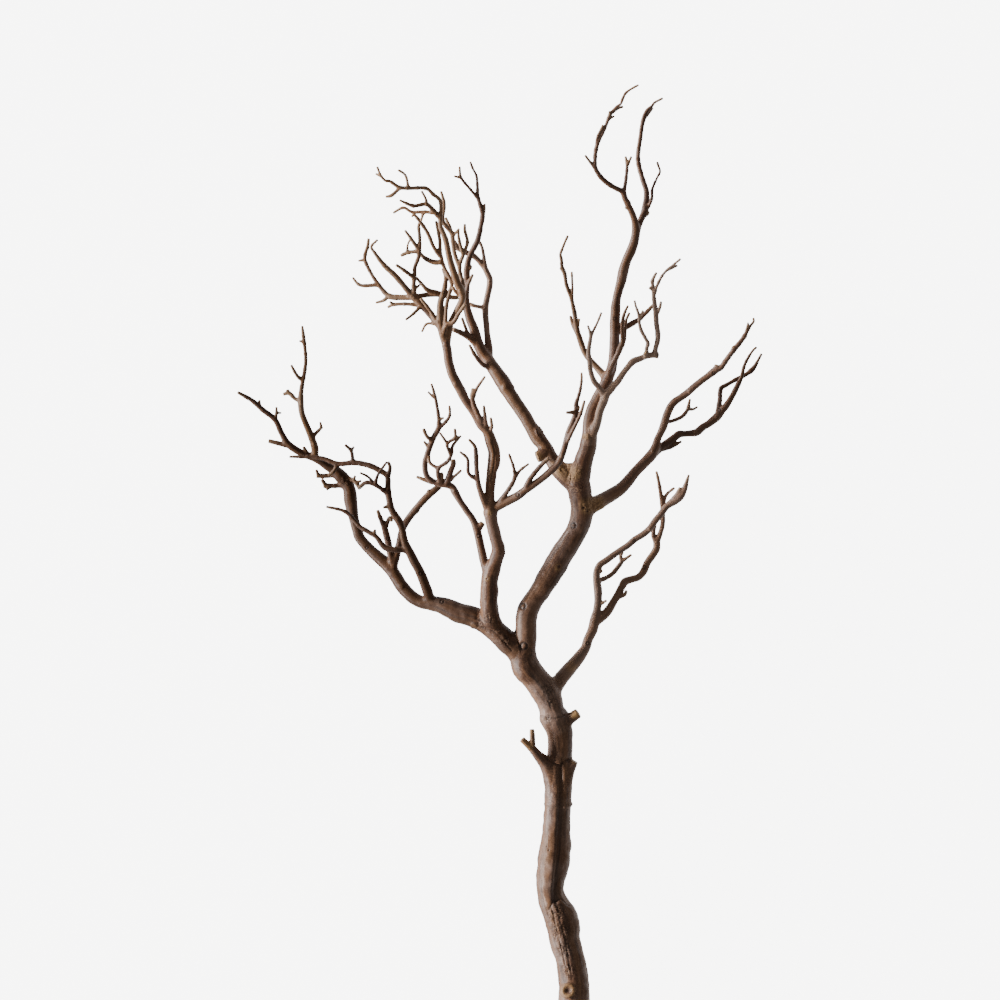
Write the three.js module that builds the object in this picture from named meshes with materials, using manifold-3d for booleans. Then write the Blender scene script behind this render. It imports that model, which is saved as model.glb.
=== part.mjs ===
import * as THREE from 'three';
import { mergeVertices } from 'three/addons/utils/BufferGeometryUtils.js';
import Module from 'manifold-3d';

const wasm = await Module();
wasm.setup();

// A dried, leafless tree branch laid on its side, in millimetres, +Z up.
// It was measured lying on a metre-square board. Each point of a run is
// [across from the board's left edge, down from its top edge, thickness, height of the axis].
// A height that is left out lies on the straight way between its neighbours' heights.
const boardMiddle = { across: 499.9, down: 548.2 };
const forkGap = 0.3;
const thinnestTwig = 1.6;

// Facets round a limb by its thickness, and the stride of its rings in thicknesses.
const facets = [
  { from: 14, sides: 8 },
  { from: 8.2, sides: 6 },
  { from: 5.2, sides: 5 },
  { from: 0, sides: 4 },
];
const ringStride = 2.1;
const shortestRing = 19;

const bark = { deep: '#3b2a24', warm: '#4a352b', grey: '#57463e', tan: '#6b5344' };

// The stem leans on its sawn end. Its stubs are snapped side shoots and one pruned knob.
const stem = {
  name: 'stem',
  colour: bark.grey,
  roughness: 0.72,
  meets: [],
  runs: [
    [[574.5, 1012, 31, 15.5], [574.5, 1000, 31, 15.5], [574, 980, 30, 15.5], [570.5, 960, 29, 16],
      [565, 940, 30, 17.5], [562, 922, 33, 19], [558.5, 910, 33, 20], [554, 900, 30, 20.5],
      [551, 890, 27, 21], [550, 880, 26.5, 22], [552, 868, 29.5, 23.5], [555, 850, 30, 26],
      [556, 830, 27.5, 29], [557.5, 800, 26, 33], [558.5, 780, 27, 36], [559.5, 765, 27, 38],
      [560, 755, 24, 39], [560.7, 740, 23.5, 41], [559.5, 730, 26, 42], [556, 720, 28.5, 43],
      [552, 710, 24.5, 44], [549, 700, 25, 45], [544, 690, 26, 46.5], [535, 678, 24, 49],
      [526, 662, 23, 52], [518, 648, 22, 55]],
    [[556, 722, 10, 44], [566, 720, 9, 48], [572, 716, 8.5, 50], [579, 712, 8, 51]],
    [[556, 772, 14, 40], [545, 762, 12, 46], [538, 753, 8.5, 50], [532, 746, 6.5, 52]],
    [[534, 748.5, 6, 51.5], [527, 742, 5, 54], [522, 738, 4.5, 55]],
    [[533, 748, 5, 52], [533, 738, 4.5, 55], [532, 729, 3, 57]],
    [[562, 782, 9, 42], [568, 775, 9, 46], [573, 766, 8.5, 48], [576, 760, 8, 49]],
    [[570, 989, 10, 24], [568, 988, 9.5, 33]],
  ],
};

const leader = {
  name: 'leader',
  colour: bark.warm,
  roughness: 0.66,
  meets: ['stem'],
  runs: [
    [[522, 658, 18, 53], [525.5, 648, 20, 54.5], [526, 640, 21, 56], [527, 620, 19.5, 61],
      [528.5, 610, 20, 63.5], [533, 600, 20, 66], [540.5, 590, 19, 68], [546, 580, 20, 70],
      [552, 570, 20.5, 72], [557.5, 560, 21, 74], [563.5, 550, 21, 76], [570, 540, 19.5, 78],
      [575.5, 530, 19.5, 80], [580, 520, 21, 82], [582, 510, 22, 84], [581, 500, 21.5, 86],
      [580, 490, 23, 88], [579, 480, 23, 90]],
  ],
};

// The right lower limb forks close to the stem. Its fork dips to the floor and props the branch.
const rightLowerLimb = {
  name: 'right_lower_limb',
  colour: bark.warm,
  roughness: 0.64,
  meets: ['stem'],
  runs: [
    [[552, 692, 14, 46], [560, 680, 14, 42], [570, 668, 13, 36], [580, 656, 11, 29],
      [586, 647, 9, 25], [588, 640, 9, 22.5], [593, 629, 9, 19.5], [595.5, 618, 8.5, 18],
      [597, 610, 7, 18], [597.5, 600, 5.5], [597, 590, 6], [596, 580, 6, 19], [597, 570, 6],
      [600, 563.5, 6], [606, 559, 6, 20], [620, 549, 5.6], [627, 545, 5.6, 21], [635, 539, 5.8],
      [643, 534, 5.8], [650, 528, 6, 21], [655, 521, 6], [660, 515, 6], [668, 505, 6, 21],
      [675, 498, 6, 22], [682, 496, 4.4], [684, 486, 3.5, 26], [688, 477, 1.6, 30]],
    [[673, 500, 5, 22], [678, 493, 4], [681, 487, 3, 27]],
    [[597, 582, 4.5, 19], [600, 580, 4.2, 17], [607, 577, 4, 14], [613, 573, 4], [618, 567, 4, 11],
      [622, 561, 3.5], [621, 556, 3], [623, 551, 2.6, 11]],
    [[622, 561, 3, 11], [632, 554, 1.8, 13]],
    [[598, 605, 3.4, 18], [607, 600, 1.6, 22]],
  ],
};

const rightLowerFork = {
  name: 'right_lower_fork',
  colour: bark.warm,
  roughness: 0.64,
  meets: ['right_lower_limb'],
  runs: [
    [[594, 624, 8, 18.5], [598, 620, 8.6, 17.5], [605, 612, 8, 16], [613.5, 600, 6.6, 13.5],
      [618, 593, 6.8], [622, 585, 7, 10.5], [624, 580, 7.6, 9.5], [630, 578, 6.4, 8.5],
      [638, 577, 5.6, 7], [643, 570, 7, 6], [648, 562, 6.6, 5], [653, 555, 6.8, 4.2],
      [657, 548, 7, 3.5], [657.5, 541, 6.2, 3.4], [660, 535, 4.5, 4], [663, 525, 4.2, 5],
      [663.5, 515, 4, 6], [663, 505, 4, 8], [660, 490, 3, 14], [658, 480, 2.4], [656, 471, 1.6, 22]],
    [[657.5, 543, 5, 3.4], [654, 535, 4, 4], [655, 525, 3.4, 5.5], [657, 518, 2.4, 7]],
    [[663.3, 505, 3.4, 8], [667, 494, 2.5, 12], [675, 487, 1.6, 16]],
    [[616, 597, 5, 12.8], [625, 594, 3.4, 14], [627, 590, 2, 16]],
  ],
};

// The left limb sweeps down to the floor at its knotty head, the branch's second prop.
const leftLimb = {
  name: 'left_limb',
  colour: bark.warm,
  roughness: 0.64,
  meets: ['stem', 'leader'],
  runs: [
    [[519, 650, 19, 55], [508, 638, 23, 55], [497, 628, 22, 54], [490, 624, 20, 53],
      [475, 618, 19, 50.5], [460, 613.5, 18, 47.5], [450, 609, 16.5], [440, 605, 14.5, 42.5],
      [430, 602.5, 14], [420, 602, 12.5, 36.5], [410, 596, 12], [401, 586, 12, 30],
      [394, 575, 11.5], [387, 566, 12, 24], [375, 555, 11], [367, 547, 10, 18], [359.5, 537, 10],
      [357, 530, 10, 13.5], [354, 520, 9], [352.5, 510, 10, 9], [351, 500, 11, 7],
      [350, 490, 11, 5.9], [346, 482, 12, 5.7], [341, 476, 13, 6.1], [335, 470, 10, 7.5],
      [328, 466, 8], [318, 459, 7.5, 9], [303, 453, 6.5, 10], [297, 450, 6.5], [291, 446, 6.5, 11],
      [286, 441, 6], [281, 432, 5, 12.5], [275, 418, 4.5, 14], [263, 408, 4, 16], [252, 399, 3.5, 18],
      [245, 395, 3], [237, 391, 1.8, 21]],
    [[275, 419, 3, 14], [276, 412, 2, 17], [276, 406, 1.6, 19]],
    [[289, 445, 4.5, 11], [280, 443, 3.8, 10], [268, 440, 3.5, 8]],
    [[338, 473, 5, 7], [327, 475, 4, 5], [316, 475, 4, 4]],
    [[346, 484, 5, 6], [335, 485, 4, 4.5], [323, 485, 4, 3.5]],
    [[345, 477, 4, 8], [354, 480, 3.5, 12], [359, 487, 3, 14]],
  ],
};

const leftTipLimb = {
  name: 'left_tip_limb',
  colour: bark.tan,
  roughness: 0.62,
  meets: ['left_limb'],
  runs: [
    [[314, 457, 6.4, 9.5], [316, 449, 7, 13], [312, 437, 6, 18], [307, 425, 5.5, 23], [302, 412, 5, 28],
      [300.5, 400, 5.5, 31], [301, 390, 4, 34], [304.5, 370, 3.2, 39], [305.5, 360, 3],
      [305, 350, 2.8, 43], [303, 333, 3, 46], [302, 325, 1.6, 48]],
    [[302, 379, 3, 37], [298, 376, 2.8], [294, 370, 2.5, 40], [291, 364, 1.8, 42]],
    [[300.5, 400, 3.4, 31], [295, 398, 3], [290, 393, 3, 28], [286, 391, 2.6, 27]],
    [[312, 436, 3, 18], [317, 431, 2.6], [322, 426, 2.2, 23]],
  ],
};

const leftSideLimb = {
  name: 'left_side_limb',
  colour: bark.deep,
  roughness: 0.66,
  meets: ['left_limb'],
  runs: [
    [[391, 574, 8, 27], [396, 555, 7.6, 29], [399, 543, 5.8, 33], [402, 530, 6, 37], [407, 520, 6.5, 40],
      [417, 507, 6.5, 44], [428, 495, 6.5, 48], [440, 485, 5.6, 52]],
    [[392.5, 566, 6, 28], [389, 545, 6, 32], [387, 535, 6, 36], [385, 527, 5, 40], [383, 522, 4],
      [380, 515, 3, 45], [378, 510, 2.2, 47]],
    [[385, 528, 4, 40], [390, 517, 3, 45]],
  ],
};

// The left inner limb turns back over the left limb in one long crossing twig.
const leftInnerLimb = {
  name: 'left_inner_limb',
  colour: bark.warm,
  roughness: 0.64,
  meets: ['left_limb'],
  runs: [
    [[430, 600, 9, 42], [427, 590, 9, 46], [420, 572, 8, 52], [411, 555, 8, 56], [405, 540, 7, 60],
      [403, 530, 6.5], [400, 521, 7, 63], [396, 515, 7], [392, 508, 6, 64], [389, 490, 5.5, 64],
      [387.5, 475, 4.8, 62], [380, 470, 5], [370, 465, 5, 59], [355, 462, 4.5, 55], [338, 463, 4, 50],
      [322, 457.5, 3.5, 45], [300, 456, 2.5, 40], [289, 456, 1.6, 39]],
    [[338, 463, 3.4, 50], [333, 471, 3], [328, 475, 2.2, 46]],
    [[353, 462, 3, 54], [351, 450, 2.5, 58], [345, 444, 2.2, 61]],
    [[388, 477, 4, 62], [390, 466, 3, 66], [388, 461, 2.4, 68]],
    [[389, 494, 4, 64], [375, 484, 3.5, 66], [366, 482, 3.5, 64], [358, 488, 3, 60]],
    [[375, 484, 3, 66], [378, 474, 2.2, 70], [387, 461, 1.6, 74]],
    [[374, 483, 2.4, 66], [368, 476, 1.8], [360, 472, 1.6, 70]],
    [[407, 549, 5.5, 57], [395, 549, 5, 58], [385, 547, 5], [376, 536, 4, 54], [368, 531, 4],
      [360, 526, 3.5, 50], [345, 511, 3, 46], [326, 506, 1.6, 43]],
  ],
};

const middleLimb = {
  name: 'middle_limb',
  colour: bark.warm,
  roughness: 0.64,
  meets: ['left_limb'],
  runs: [
    [[496, 630, 16, 55], [492, 618, 18, 60], [489, 600, 18, 68], [489.5, 580, 16.5, 77], [492, 570, 16],
      [495, 562, 13.5, 85], [498.5, 550, 13], [496.5, 540, 12, 94], [491.5, 520, 12, 101],
      [490.5, 510, 13], [490, 500, 9.5, 108], [491, 480, 9.5], [492, 470, 10, 117], [494, 462, 12],
      [494, 450, 11.5, 123], [491, 440, 11], [487, 430, 9.5, 129], [481, 424, 8.4], [476, 415, 8, 133],
      [466, 400, 8, 137], [456, 382, 9, 142], [448.5, 362, 8.5, 147], [447, 352, 8.5], [446, 342, 9, 151]],
    [[487, 431, 4, 129], [485.5, 420, 3.5, 135], [484, 405, 1.6, 141]],
    [[485, 427, 5, 130], [479, 415, 4, 137], [472.5, 398, 4, 143], [473.5, 388, 3.4, 146]],
    [[473, 399, 3, 143], [476, 390, 2], [485, 376.5, 1.6, 152]],
    [[489, 434, 3, 128], [492, 427, 2.4, 135], [491, 418, 1.6, 139]],
    [[489, 513, 6.5, 104], [484, 500, 6, 111], [478.5, 484, 4.6, 118], [476.5, 465, 4, 124],
      [476.5, 455, 4], [476, 446, 2.6, 129], [469.5, 439, 1.6, 133]],
    [[477.5, 479, 3.4, 120], [469, 473, 2.8, 122], [467.5, 458, 2.4, 127], [460, 451, 1.6, 130]],
  ],
};

const middleSideLimb = {
  name: 'middle_side_limb',
  colour: bark.deep,
  roughness: 0.64,
  meets: ['middle_limb'],
  runs: [
    [[490, 510, 8, 103], [500, 503, 8.5, 109], [517, 494.5, 7.5, 117], [535, 483, 6.5, 125],
      [550, 471, 6.5, 131], [561, 457, 6, 136], [567, 440, 5.5, 140], [574, 420, 5, 145],
      [577, 411, 4.5], [577, 403, 4, 149], [580.5, 390, 2.2], [581.5, 372, 1.6, 157]],
    [[566, 444, 3.6, 139], [571, 434, 2.6, 146], [581, 413, 2.5, 152], [584.5, 400, 1.7, 157]],
    [[577, 411, 3, 147], [570, 412, 2.5, 150], [566, 412, 2, 151]],
    [[525, 489, 5, 121], [530, 480, 4.5, 128], [543, 464, 3.5, 134], [549, 457, 2.8, 137]],
    [[497, 504, 5, 107], [505, 494, 4, 116], [514.5, 478, 3.5, 123], [514, 468, 2.4], [509, 453, 1.6, 131]],
    [[514, 479, 3, 123], [520, 470, 2.3], [529, 463, 1.6, 129]],
  ],
};

const middleArchLimb = {
  name: 'middle_arch_limb',
  colour: bark.deep,
  roughness: 0.64,
  meets: ['middle_limb'],
  runs: [
    [[489, 576, 9, 79], [484, 560, 8, 81], [478, 533, 7.5, 79], [473, 519, 6.2], [466, 509, 6, 76],
      [455, 491, 7, 74], [452, 486, 6.2], [446, 484, 6, 74], [434, 481, 5, 75], [429, 478, 5],
      [426, 473, 5, 77], [425, 466, 5], [425.5, 460, 5, 80], [431, 443, 5, 84], [438, 429, 4.5, 88],
      [439, 423, 3.6], [438.5, 415, 3, 92], [435, 395, 2.4, 97], [431.5, 383, 1.6, 100]],
    [[478, 529, 6, 78], [483, 522, 5, 80]],
    [[438, 429, 3, 88], [449, 417, 2.5, 94], [450, 412, 2], [449.5, 405, 1.6, 99]],
    [[432, 440, 3, 86], [427, 435.5, 2.5], [423.5, 428, 1.8, 91]],
    [[440, 483, 4, 74], [430, 481, 3.4, 71], [416.5, 476, 1.6, 68]],
    [[440, 483, 4, 75], [438.5, 468, 3.4, 85], [448, 460.5, 3, 89], [452, 452, 2.6, 92],
      [452.5, 446, 2.5], [461, 435, 1.6, 99]],
    [[451, 455, 2.8, 91], [447.5, 443, 2.5, 97], [455, 437, 2.6, 100], [455, 428, 1.9, 104]],
    [[447.5, 443, 2.2, 97], [440, 432, 1.6, 101]],
    [[438.5, 468, 2.8, 85], [430, 462, 2.5, 83], [429, 455, 2, 83]],
    [[446, 484, 5, 75], [451, 470, 5], [453.5, 463, 4.5, 83], [453, 458.5, 4, 84]],
    [[447, 484, 3.4, 75], [452, 478, 2.5, 78], [461.5, 469.5, 2, 83]],
  ],
};

// The crown is the dense head of the middle limb, in a right and a left half.
const crownLimb = {
  name: 'crown_limb',
  colour: bark.tan,
  roughness: 0.62,
  meets: ['middle_limb'],
  runs: [
    [[446, 345, 8, 150], [448.5, 329, 7.5, 154], [450, 323, 6.4, 155], [458, 311, 6, 158], [463, 297, 6.4, 161],
      [461, 290, 7], [457.6, 283, 7, 164], [452, 266, 6], [449.6, 257, 5.6, 169], [446, 240, 5],
      [443, 232, 4.5, 174], [440.6, 226, 4], [440.7, 218, 3.3], [441.2, 208, 3, 179], [440, 200, 2.9],
      [434, 194, 2.8], [427, 188, 3, 183], [409, 188, 3, 185], [400, 187.5, 2.8], [390, 181.5, 2.3],
      [386, 181, 2, 188], [381.4, 176, 1.8], [377.6, 167, 1.6, 190]],
    [[401, 187.5, 2.4, 185], [391, 196.5, 2.2], [386, 197, 1.6, 184]],
    [[409, 189, 2.4, 185], [405.6, 175.4, 1.8], [398.6, 170.3, 1.6, 192]],
    [[441, 219, 4, 176], [434, 211, 4], [427, 204.5, 3.3, 182], [414, 206, 2.8, 184], [400, 200.4, 1.6, 188]],
    [[427.5, 205.5, 2.4, 182], [426, 199, 2], [422, 191.4, 1.6, 189]],
    [[436, 213, 3.4, 179], [424, 212, 2.5, 176], [412, 212, 2.3, 174], [404, 207.8, 2.2], [393.5, 213, 1.6, 171]],
    [[424, 211.5, 2.2, 176], [421.3, 221, 1.8, 174]],
    [[463, 295, 4.4, 161], [463, 284, 3.5, 158], [459.6, 267, 3.2, 158], [463.7, 254, 2.8, 160],
      [467.6, 242, 2.8], [465, 230, 2.4], [465, 224, 1.8, 168]],
    [[460, 268, 3.2, 158], [455, 254, 3.4, 158], [453, 240, 3.8, 160], [452.3, 233.5, 3.6], [449, 229.5, 3.5, 163],
      [443, 221, 3.4], [443, 215, 3.2, 166], [444.2, 209, 3, 170], [444.3, 203, 2.9], [441.3, 191.4, 2, 176]],
    [[452.5, 236, 3.2, 161], [450.4, 228, 2.9, 158], [445.7, 217.5, 2.2, 155]],
    [[453, 236, 2.4, 161], [459.5, 228.7, 1.6, 165]],
    [[463.2, 255, 2.8, 160], [459, 238, 2.4, 166], [458.5, 230, 1.8, 169]],
    [[449.5, 327, 4, 153], [458, 319, 3, 151], [467, 304, 2.6, 149]],
  ],
};

const crownLeftLimb = {
  name: 'crown_left_limb',
  colour: bark.tan,
  roughness: 0.62,
  meets: ['middle_limb', 'crown_limb'],
  runs: [
    [[445.5, 344, 7.4, 149], [442.5, 330, 6.2, 151], [440.5, 318, 5.2, 151], [441.7, 300, 5, 153],
      [444, 292, 5], [445.6, 283, 4, 155], [446, 277, 3.2], [443, 268, 2.4, 152]],
    [[442.3, 329, 6, 150], [437, 323, 5.2, 150], [425, 308.5, 5.5, 147], [413.5, 296.5, 7, 145],
      [408, 297, 5.2], [400, 297, 5, 141], [392, 296.5, 5], [387, 294, 4.2, 138], [377.4, 282.3, 3.3],
      [372, 274, 2.9, 134], [365.2, 259, 3], [366.5, 252, 2.6, 131], [369, 247.5, 2.4], [370, 237.4, 1.6, 129]],
    [[414, 298, 5.6, 145], [407, 289, 5, 148], [396, 276, 5, 151], [384, 264.5, 4, 153], [375, 252.5, 2.5],
      [371.7, 246.7, 2, 156], [378, 239.6, 1.6, 158]],
    [[414.5, 298, 5, 145], [414, 283, 3.5], [415, 275, 3.3, 154], [415, 268, 3.2], [419, 256, 3.5, 158],
      [420, 238, 2.8, 161], [419, 226, 2.4], [420, 222, 2, 164]],
    [[419, 250, 3, 159], [411, 238, 2.5, 162], [405.3, 230.3, 1.8, 165]],
    [[419, 251, 3.2, 159], [408, 252.5, 3, 156], [401, 255.5, 2.2, 154]],
    [[415, 278, 3.4, 153], [405, 270.5, 3, 157], [396.2, 264.5, 2.2, 159]],
    [[444, 326, 4, 151], [447.5, 313, 3.2, 153], [448.7, 304, 3], [452, 290, 3, 155], [453.6, 285, 3],
      [451.5, 280, 3], [444, 266, 3, 156], [440.5, 252, 3], [440, 240, 3, 160], [436.3, 221, 2, 164]],
    [[442, 262, 4.4, 157], [434, 262, 4.5, 155], [424, 257, 3.5, 153], [420, 252.5, 2.6, 152]],
    [[440.3, 256, 3.6, 158], [434, 247, 3], [428, 233, 3, 163], [420, 221, 2.8, 168], [412.6, 212.4, 2.2, 169]],
    [[413, 297, 5, 145], [420, 295.5, 4, 145], [440, 294, 4.8, 146], [452, 297, 4], [459, 297, 3.4, 147]],
    [[440, 293.5, 4.6, 147], [427.5, 289.6, 3.8], [424, 286, 3, 151], [416.5, 277, 2, 149]],
    [[438, 323, 3.6, 151], [432, 312.5, 3], [421, 298, 2.4, 157]],
    [[422, 306, 4, 146], [412, 304, 3, 145], [393, 304.5, 2.6, 141], [388, 307, 1.8, 139]],
    [[395, 304.5, 2.2, 141], [390, 301.5, 1.7, 143]],
    [[422, 305, 3, 147], [413, 314, 2.2, 150], [406, 319.5, 1.6, 153]],
    [[438, 324, 2.6, 150], [427, 323.5, 1.8], [422, 331.5, 1.6, 143]],
    [[379, 284.5, 3.4, 136], [360, 284.5, 2.6], [352.8, 277, 1.6, 131]],
    [[389, 295.5, 3, 139], [384, 300, 2.5], [376, 302.4, 1.6, 136]],
  ],
};

// The back limb leaves the upper fork to the left and runs low under the crown.
const backLimb = {
  name: 'back_limb',
  colour: bark.warm,
  roughness: 0.64,
  meets: ['leader'],
  runs: [
    [[580, 489, 12.5, 86], [568, 476, 14.5, 86], [560, 468, 14, 85], [552, 458, 13], [545, 446, 13, 82],
      [539, 437, 13.5], [532, 425, 12, 78], [517, 403, 12.5, 74], [504, 384, 13.5, 70], [497, 374, 12],
      [491, 365, 11, 66], [486, 357, 10.5, 64], [481, 349, 10.5, 64], [474, 328, 9], [470, 318, 8, 64],
      [467, 307, 7], [466, 298, 6.2, 65], [467, 280, 5.6], [467.5, 270, 6, 68], [471, 254, 5, 71],
      [477.5, 240, 5, 75], [482.5, 217, 4.5, 80], [482.5, 212, 4], [478, 196, 3.1, 85], [476.5, 175, 1.9, 90],
      [470.3, 161, 1.6, 94]],
    [[549, 450, 11, 83], [538, 456, 9.5, 84]],
    [[493, 369, 4.6, 67], [481, 367, 3.5, 72], [472, 358, 2.5, 76], [467.5, 344, 1.6, 81]],
    [[478.4, 198, 2.6, 85], [470, 188, 2.2], [461, 176.5, 2, 92], [459.7, 166, 1.6, 96]],
    [[482.5, 218, 2.4, 80], [484.5, 211, 1.8], [484.7, 203, 1.6, 84]],
    [[466.5, 292, 3.4, 66], [468.5, 283, 3, 71], [473, 273.5, 2, 74]],
    [[479, 346, 7, 64], [470, 337, 6, 68], [459, 331, 4.5, 75], [453, 328.5, 4, 79]],
    [[469, 336, 3, 69], [462, 317, 1.8, 76]],
  ],
};

const backSideLimb = {
  name: 'back_side_limb',
  colour: bark.deep,
  roughness: 0.64,
  meets: ['back_limb'],
  runs: [
    [[488, 362, 8, 63], [489, 350, 7.5, 60], [487, 330, 5.5, 58], [485.5, 307, 6, 56], [487.5, 298, 5.5],
      [490.5, 279, 5.6, 55], [486, 268, 4.6], [484.5, 260, 3.1, 58], [482, 246, 2.2], [476.5, 235, 1.6, 64]],
    [[487, 270, 4.8, 55], [475, 256, 4.5, 59], [463, 250, 5, 62], [457, 246, 5, 63], [454, 240, 3.4, 65]],
    [[487, 307, 3.4, 56], [475, 305, 3, 57], [467, 302, 2.6, 56]],
  ],
};

const topLimb = {
  name: 'top_limb',
  colour: bark.grey,
  roughness: 0.66,
  meets: ['leader', 'back_limb'],
  runs: [
    [[578.5, 484, 20, 90], [581, 472, 19, 92], [583.6, 460, 18, 94], [587, 450, 16.5, 97], [589, 440, 16, 99],
      [589.5, 432, 14, 100], [589, 422, 11.5, 100], [591, 410, 11, 101], [595.5, 400, 10.5, 102],
      [607, 380, 10.5, 104], [611, 370, 9.6, 105], [614, 350, 9], [614.5, 340, 9.5, 107], [614.7, 320, 9.8, 109],
      [616.2, 298, 8, 111], [620.8, 280, 9.2, 112], [622.5, 272, 10.2], [626, 260, 9, 113], [630.8, 250, 9.3],
      [634.2, 240, 8.3, 114], [636, 230, 7.8, 114], [635, 220, 5.8, 116], [629, 205, 5.3, 119],
      [623, 191, 4.8, 122], [617, 188.5, 4.2, 124], [603, 178.5, 4, 127], [598, 173, 4], [595.5, 168, 3.6, 130],
      [595, 160, 3.3], [597, 145, 3.5], [599.5, 139, 3, 138], [607.5, 121, 2.8, 143], [609.5, 115, 2.5],
      [620.5, 104, 2, 148], [625, 94, 2], [627.5, 91.5, 1.8], [638.5, 85, 1.6, 153]],
    [[596.8, 147, 2.6, 135], [597, 138, 1.9, 139], [603, 125, 1.6, 144]],
    [[610.5, 114, 2.2, 145], [618, 108.5, 1.8, 143], [623, 106.5, 2, 142]],
    [[595.5, 169, 2.4, 130], [585, 155, 1.6, 135]],
    [[623.5, 193, 3.8, 122], [625.5, 182, 3, 119], [627, 165, 2.4, 116], [625.5, 156, 1.8, 114]],
    [[627, 166, 2.2, 116], [631.5, 156, 1.6, 116]],
    [[608, 376, 6, 105], [611, 367, 5.6, 112], [617.5, 354, 4.6, 117], [620, 348, 5.2, 119], [622.5, 342, 4.8, 120],
      [622, 328, 2.8, 122], [622.5, 321, 3], [624, 314, 2.5, 125], [628, 305, 1.6, 128]],
    [[623, 343, 3.4, 120], [625, 336, 2.5], [625.5, 322, 2.2, 118], [629.5, 312, 1.6, 116]],
    [[615, 332, 5, 108], [622, 329, 5, 108], [635, 322, 4.5], [640, 318, 3.7, 109], [650, 308, 3.2, 111],
      [654, 303.5, 2.2, 112]],
  ],
};

const topRightLimb = {
  name: 'top_right_limb',
  colour: bark.warm,
  roughness: 0.64,
  meets: ['top_limb'],
  runs: [
    [[636, 234, 6, 113], [641, 220, 5.6, 109], [644.7, 212, 6.8], [646.3, 205, 6.8, 105], [647, 198, 5.4],
      [643.5, 181, 4.6, 99], [639, 165, 4.1, 95], [638, 157, 4], [638.5, 150, 4, 92], [641, 136, 3.3, 90],
      [643.5, 121, 3, 89], [645, 115, 3], [648, 109.5, 2.6, 89], [654.5, 102, 1.7], [663, 97.5, 1.6, 91]],
    [[644.5, 118, 2.4, 89], [653, 107, 1.6, 85]],
    [[646.7, 209, 3, 105], [650.5, 202, 2.5], [652, 196, 2.4, 112], [652, 190, 2.2], [660, 171, 1.6, 118],
      [657, 161.5, 1.6, 121]],
  ],
};

const topLeftLimb = {
  name: 'top_left_limb',
  colour: bark.tan,
  roughness: 0.62,
  meets: ['top_limb'],
  runs: [
    [[608, 378.5, 6, 103], [598, 367.5, 5.5, 98], [588, 356.5, 5.4, 96], [581.5, 343, 5.4, 96], [577.5, 330, 4.4, 97],
      [574.5, 312, 4, 99], [571.5, 298, 3.3], [569, 290, 3.2, 102], [566.5, 282, 2.9], [565, 272, 3.4, 105],
      [562.5, 266, 2.6], [560.5, 254, 2.2, 108], [562.5, 248, 1.9], [568, 235, 1.6, 112]],
    [[565, 273, 2.8, 105], [560.5, 267, 2.4, 106]],
    [[571.8, 300, 2.4, 101], [572.5, 292, 1.8], [571.8, 271, 1.6, 107]],
    [[577.2, 329, 2.4, 97], [579.5, 318, 1.6, 100]],
    [[577.5, 333, 3.6, 97], [572.5, 323, 3, 94], [570.5, 315, 1.9, 92]],
  ],
};

// The front limb of the top rises off the top limb's face and forks over it.
const topFrontLimb = {
  name: 'top_front_limb',
  colour: bark.grey,
  roughness: 0.64,
  meets: ['top_limb', 'top_left_limb'],
  runs: [
    [[591, 438, 8, 102], [595, 428, 8.4, 106], [600, 410, 7.4, 111], [604, 400, 8, 113], [606, 394, 7.6, 115],
      [615, 384, 6.1], [619, 379, 6.1, 118], [628, 366.5, 5.5, 119], [633, 361, 6.3], [640, 358, 5.3, 118],
      [653, 354, 5, 117], [657.5, 354.5, 4.4, 116]],
    [[605.5, 397, 6, 114], [594, 380.5, 5, 121], [591.5, 374, 4.5], [589.5, 360, 4, 126], [588.7, 354, 4, 128],
      [590, 341, 3.3, 131], [591, 336, 2.6], [601.5, 312, 1.6, 138]],
    [[590.4, 340, 2.4, 131], [590, 332, 2], [587.7, 325, 1.6, 136]],
    [[647, 357, 3.6, 118], [647, 348, 3.2, 121], [648.5, 343, 3.2], [641.5, 330, 2.9, 126], [639.5, 324, 2.5, 127],
      [638, 312, 2, 130], [634.5, 300, 1.6, 133]],
    [[639.2, 319, 2, 128], [643, 310, 1.6, 131]],
    [[654.5, 356, 4.4, 117], [655.5, 348, 4.5, 119], [657.5, 340, 4.5], [657.7, 332, 4.8, 122], [656, 317, 4.5],
      [654.5, 303, 4, 126], [653.7, 296, 3.5, 127], [652.5, 281, 2.6, 129], [656.5, 272, 1.6, 131]],
    [[653.8, 296, 3, 127], [656, 288, 2.3, 129], [662, 275.5, 2], [666.5, 270, 1.8, 133], [680.5, 258.5, 1.6, 137]],
    [[666, 270.5, 1.8, 133], [677.5, 265, 1.6, 133]],
    [[655.8, 315, 3.4, 124], [659.5, 308, 2.3, 127], [661, 301, 1.9, 129]],
  ],
};

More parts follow.
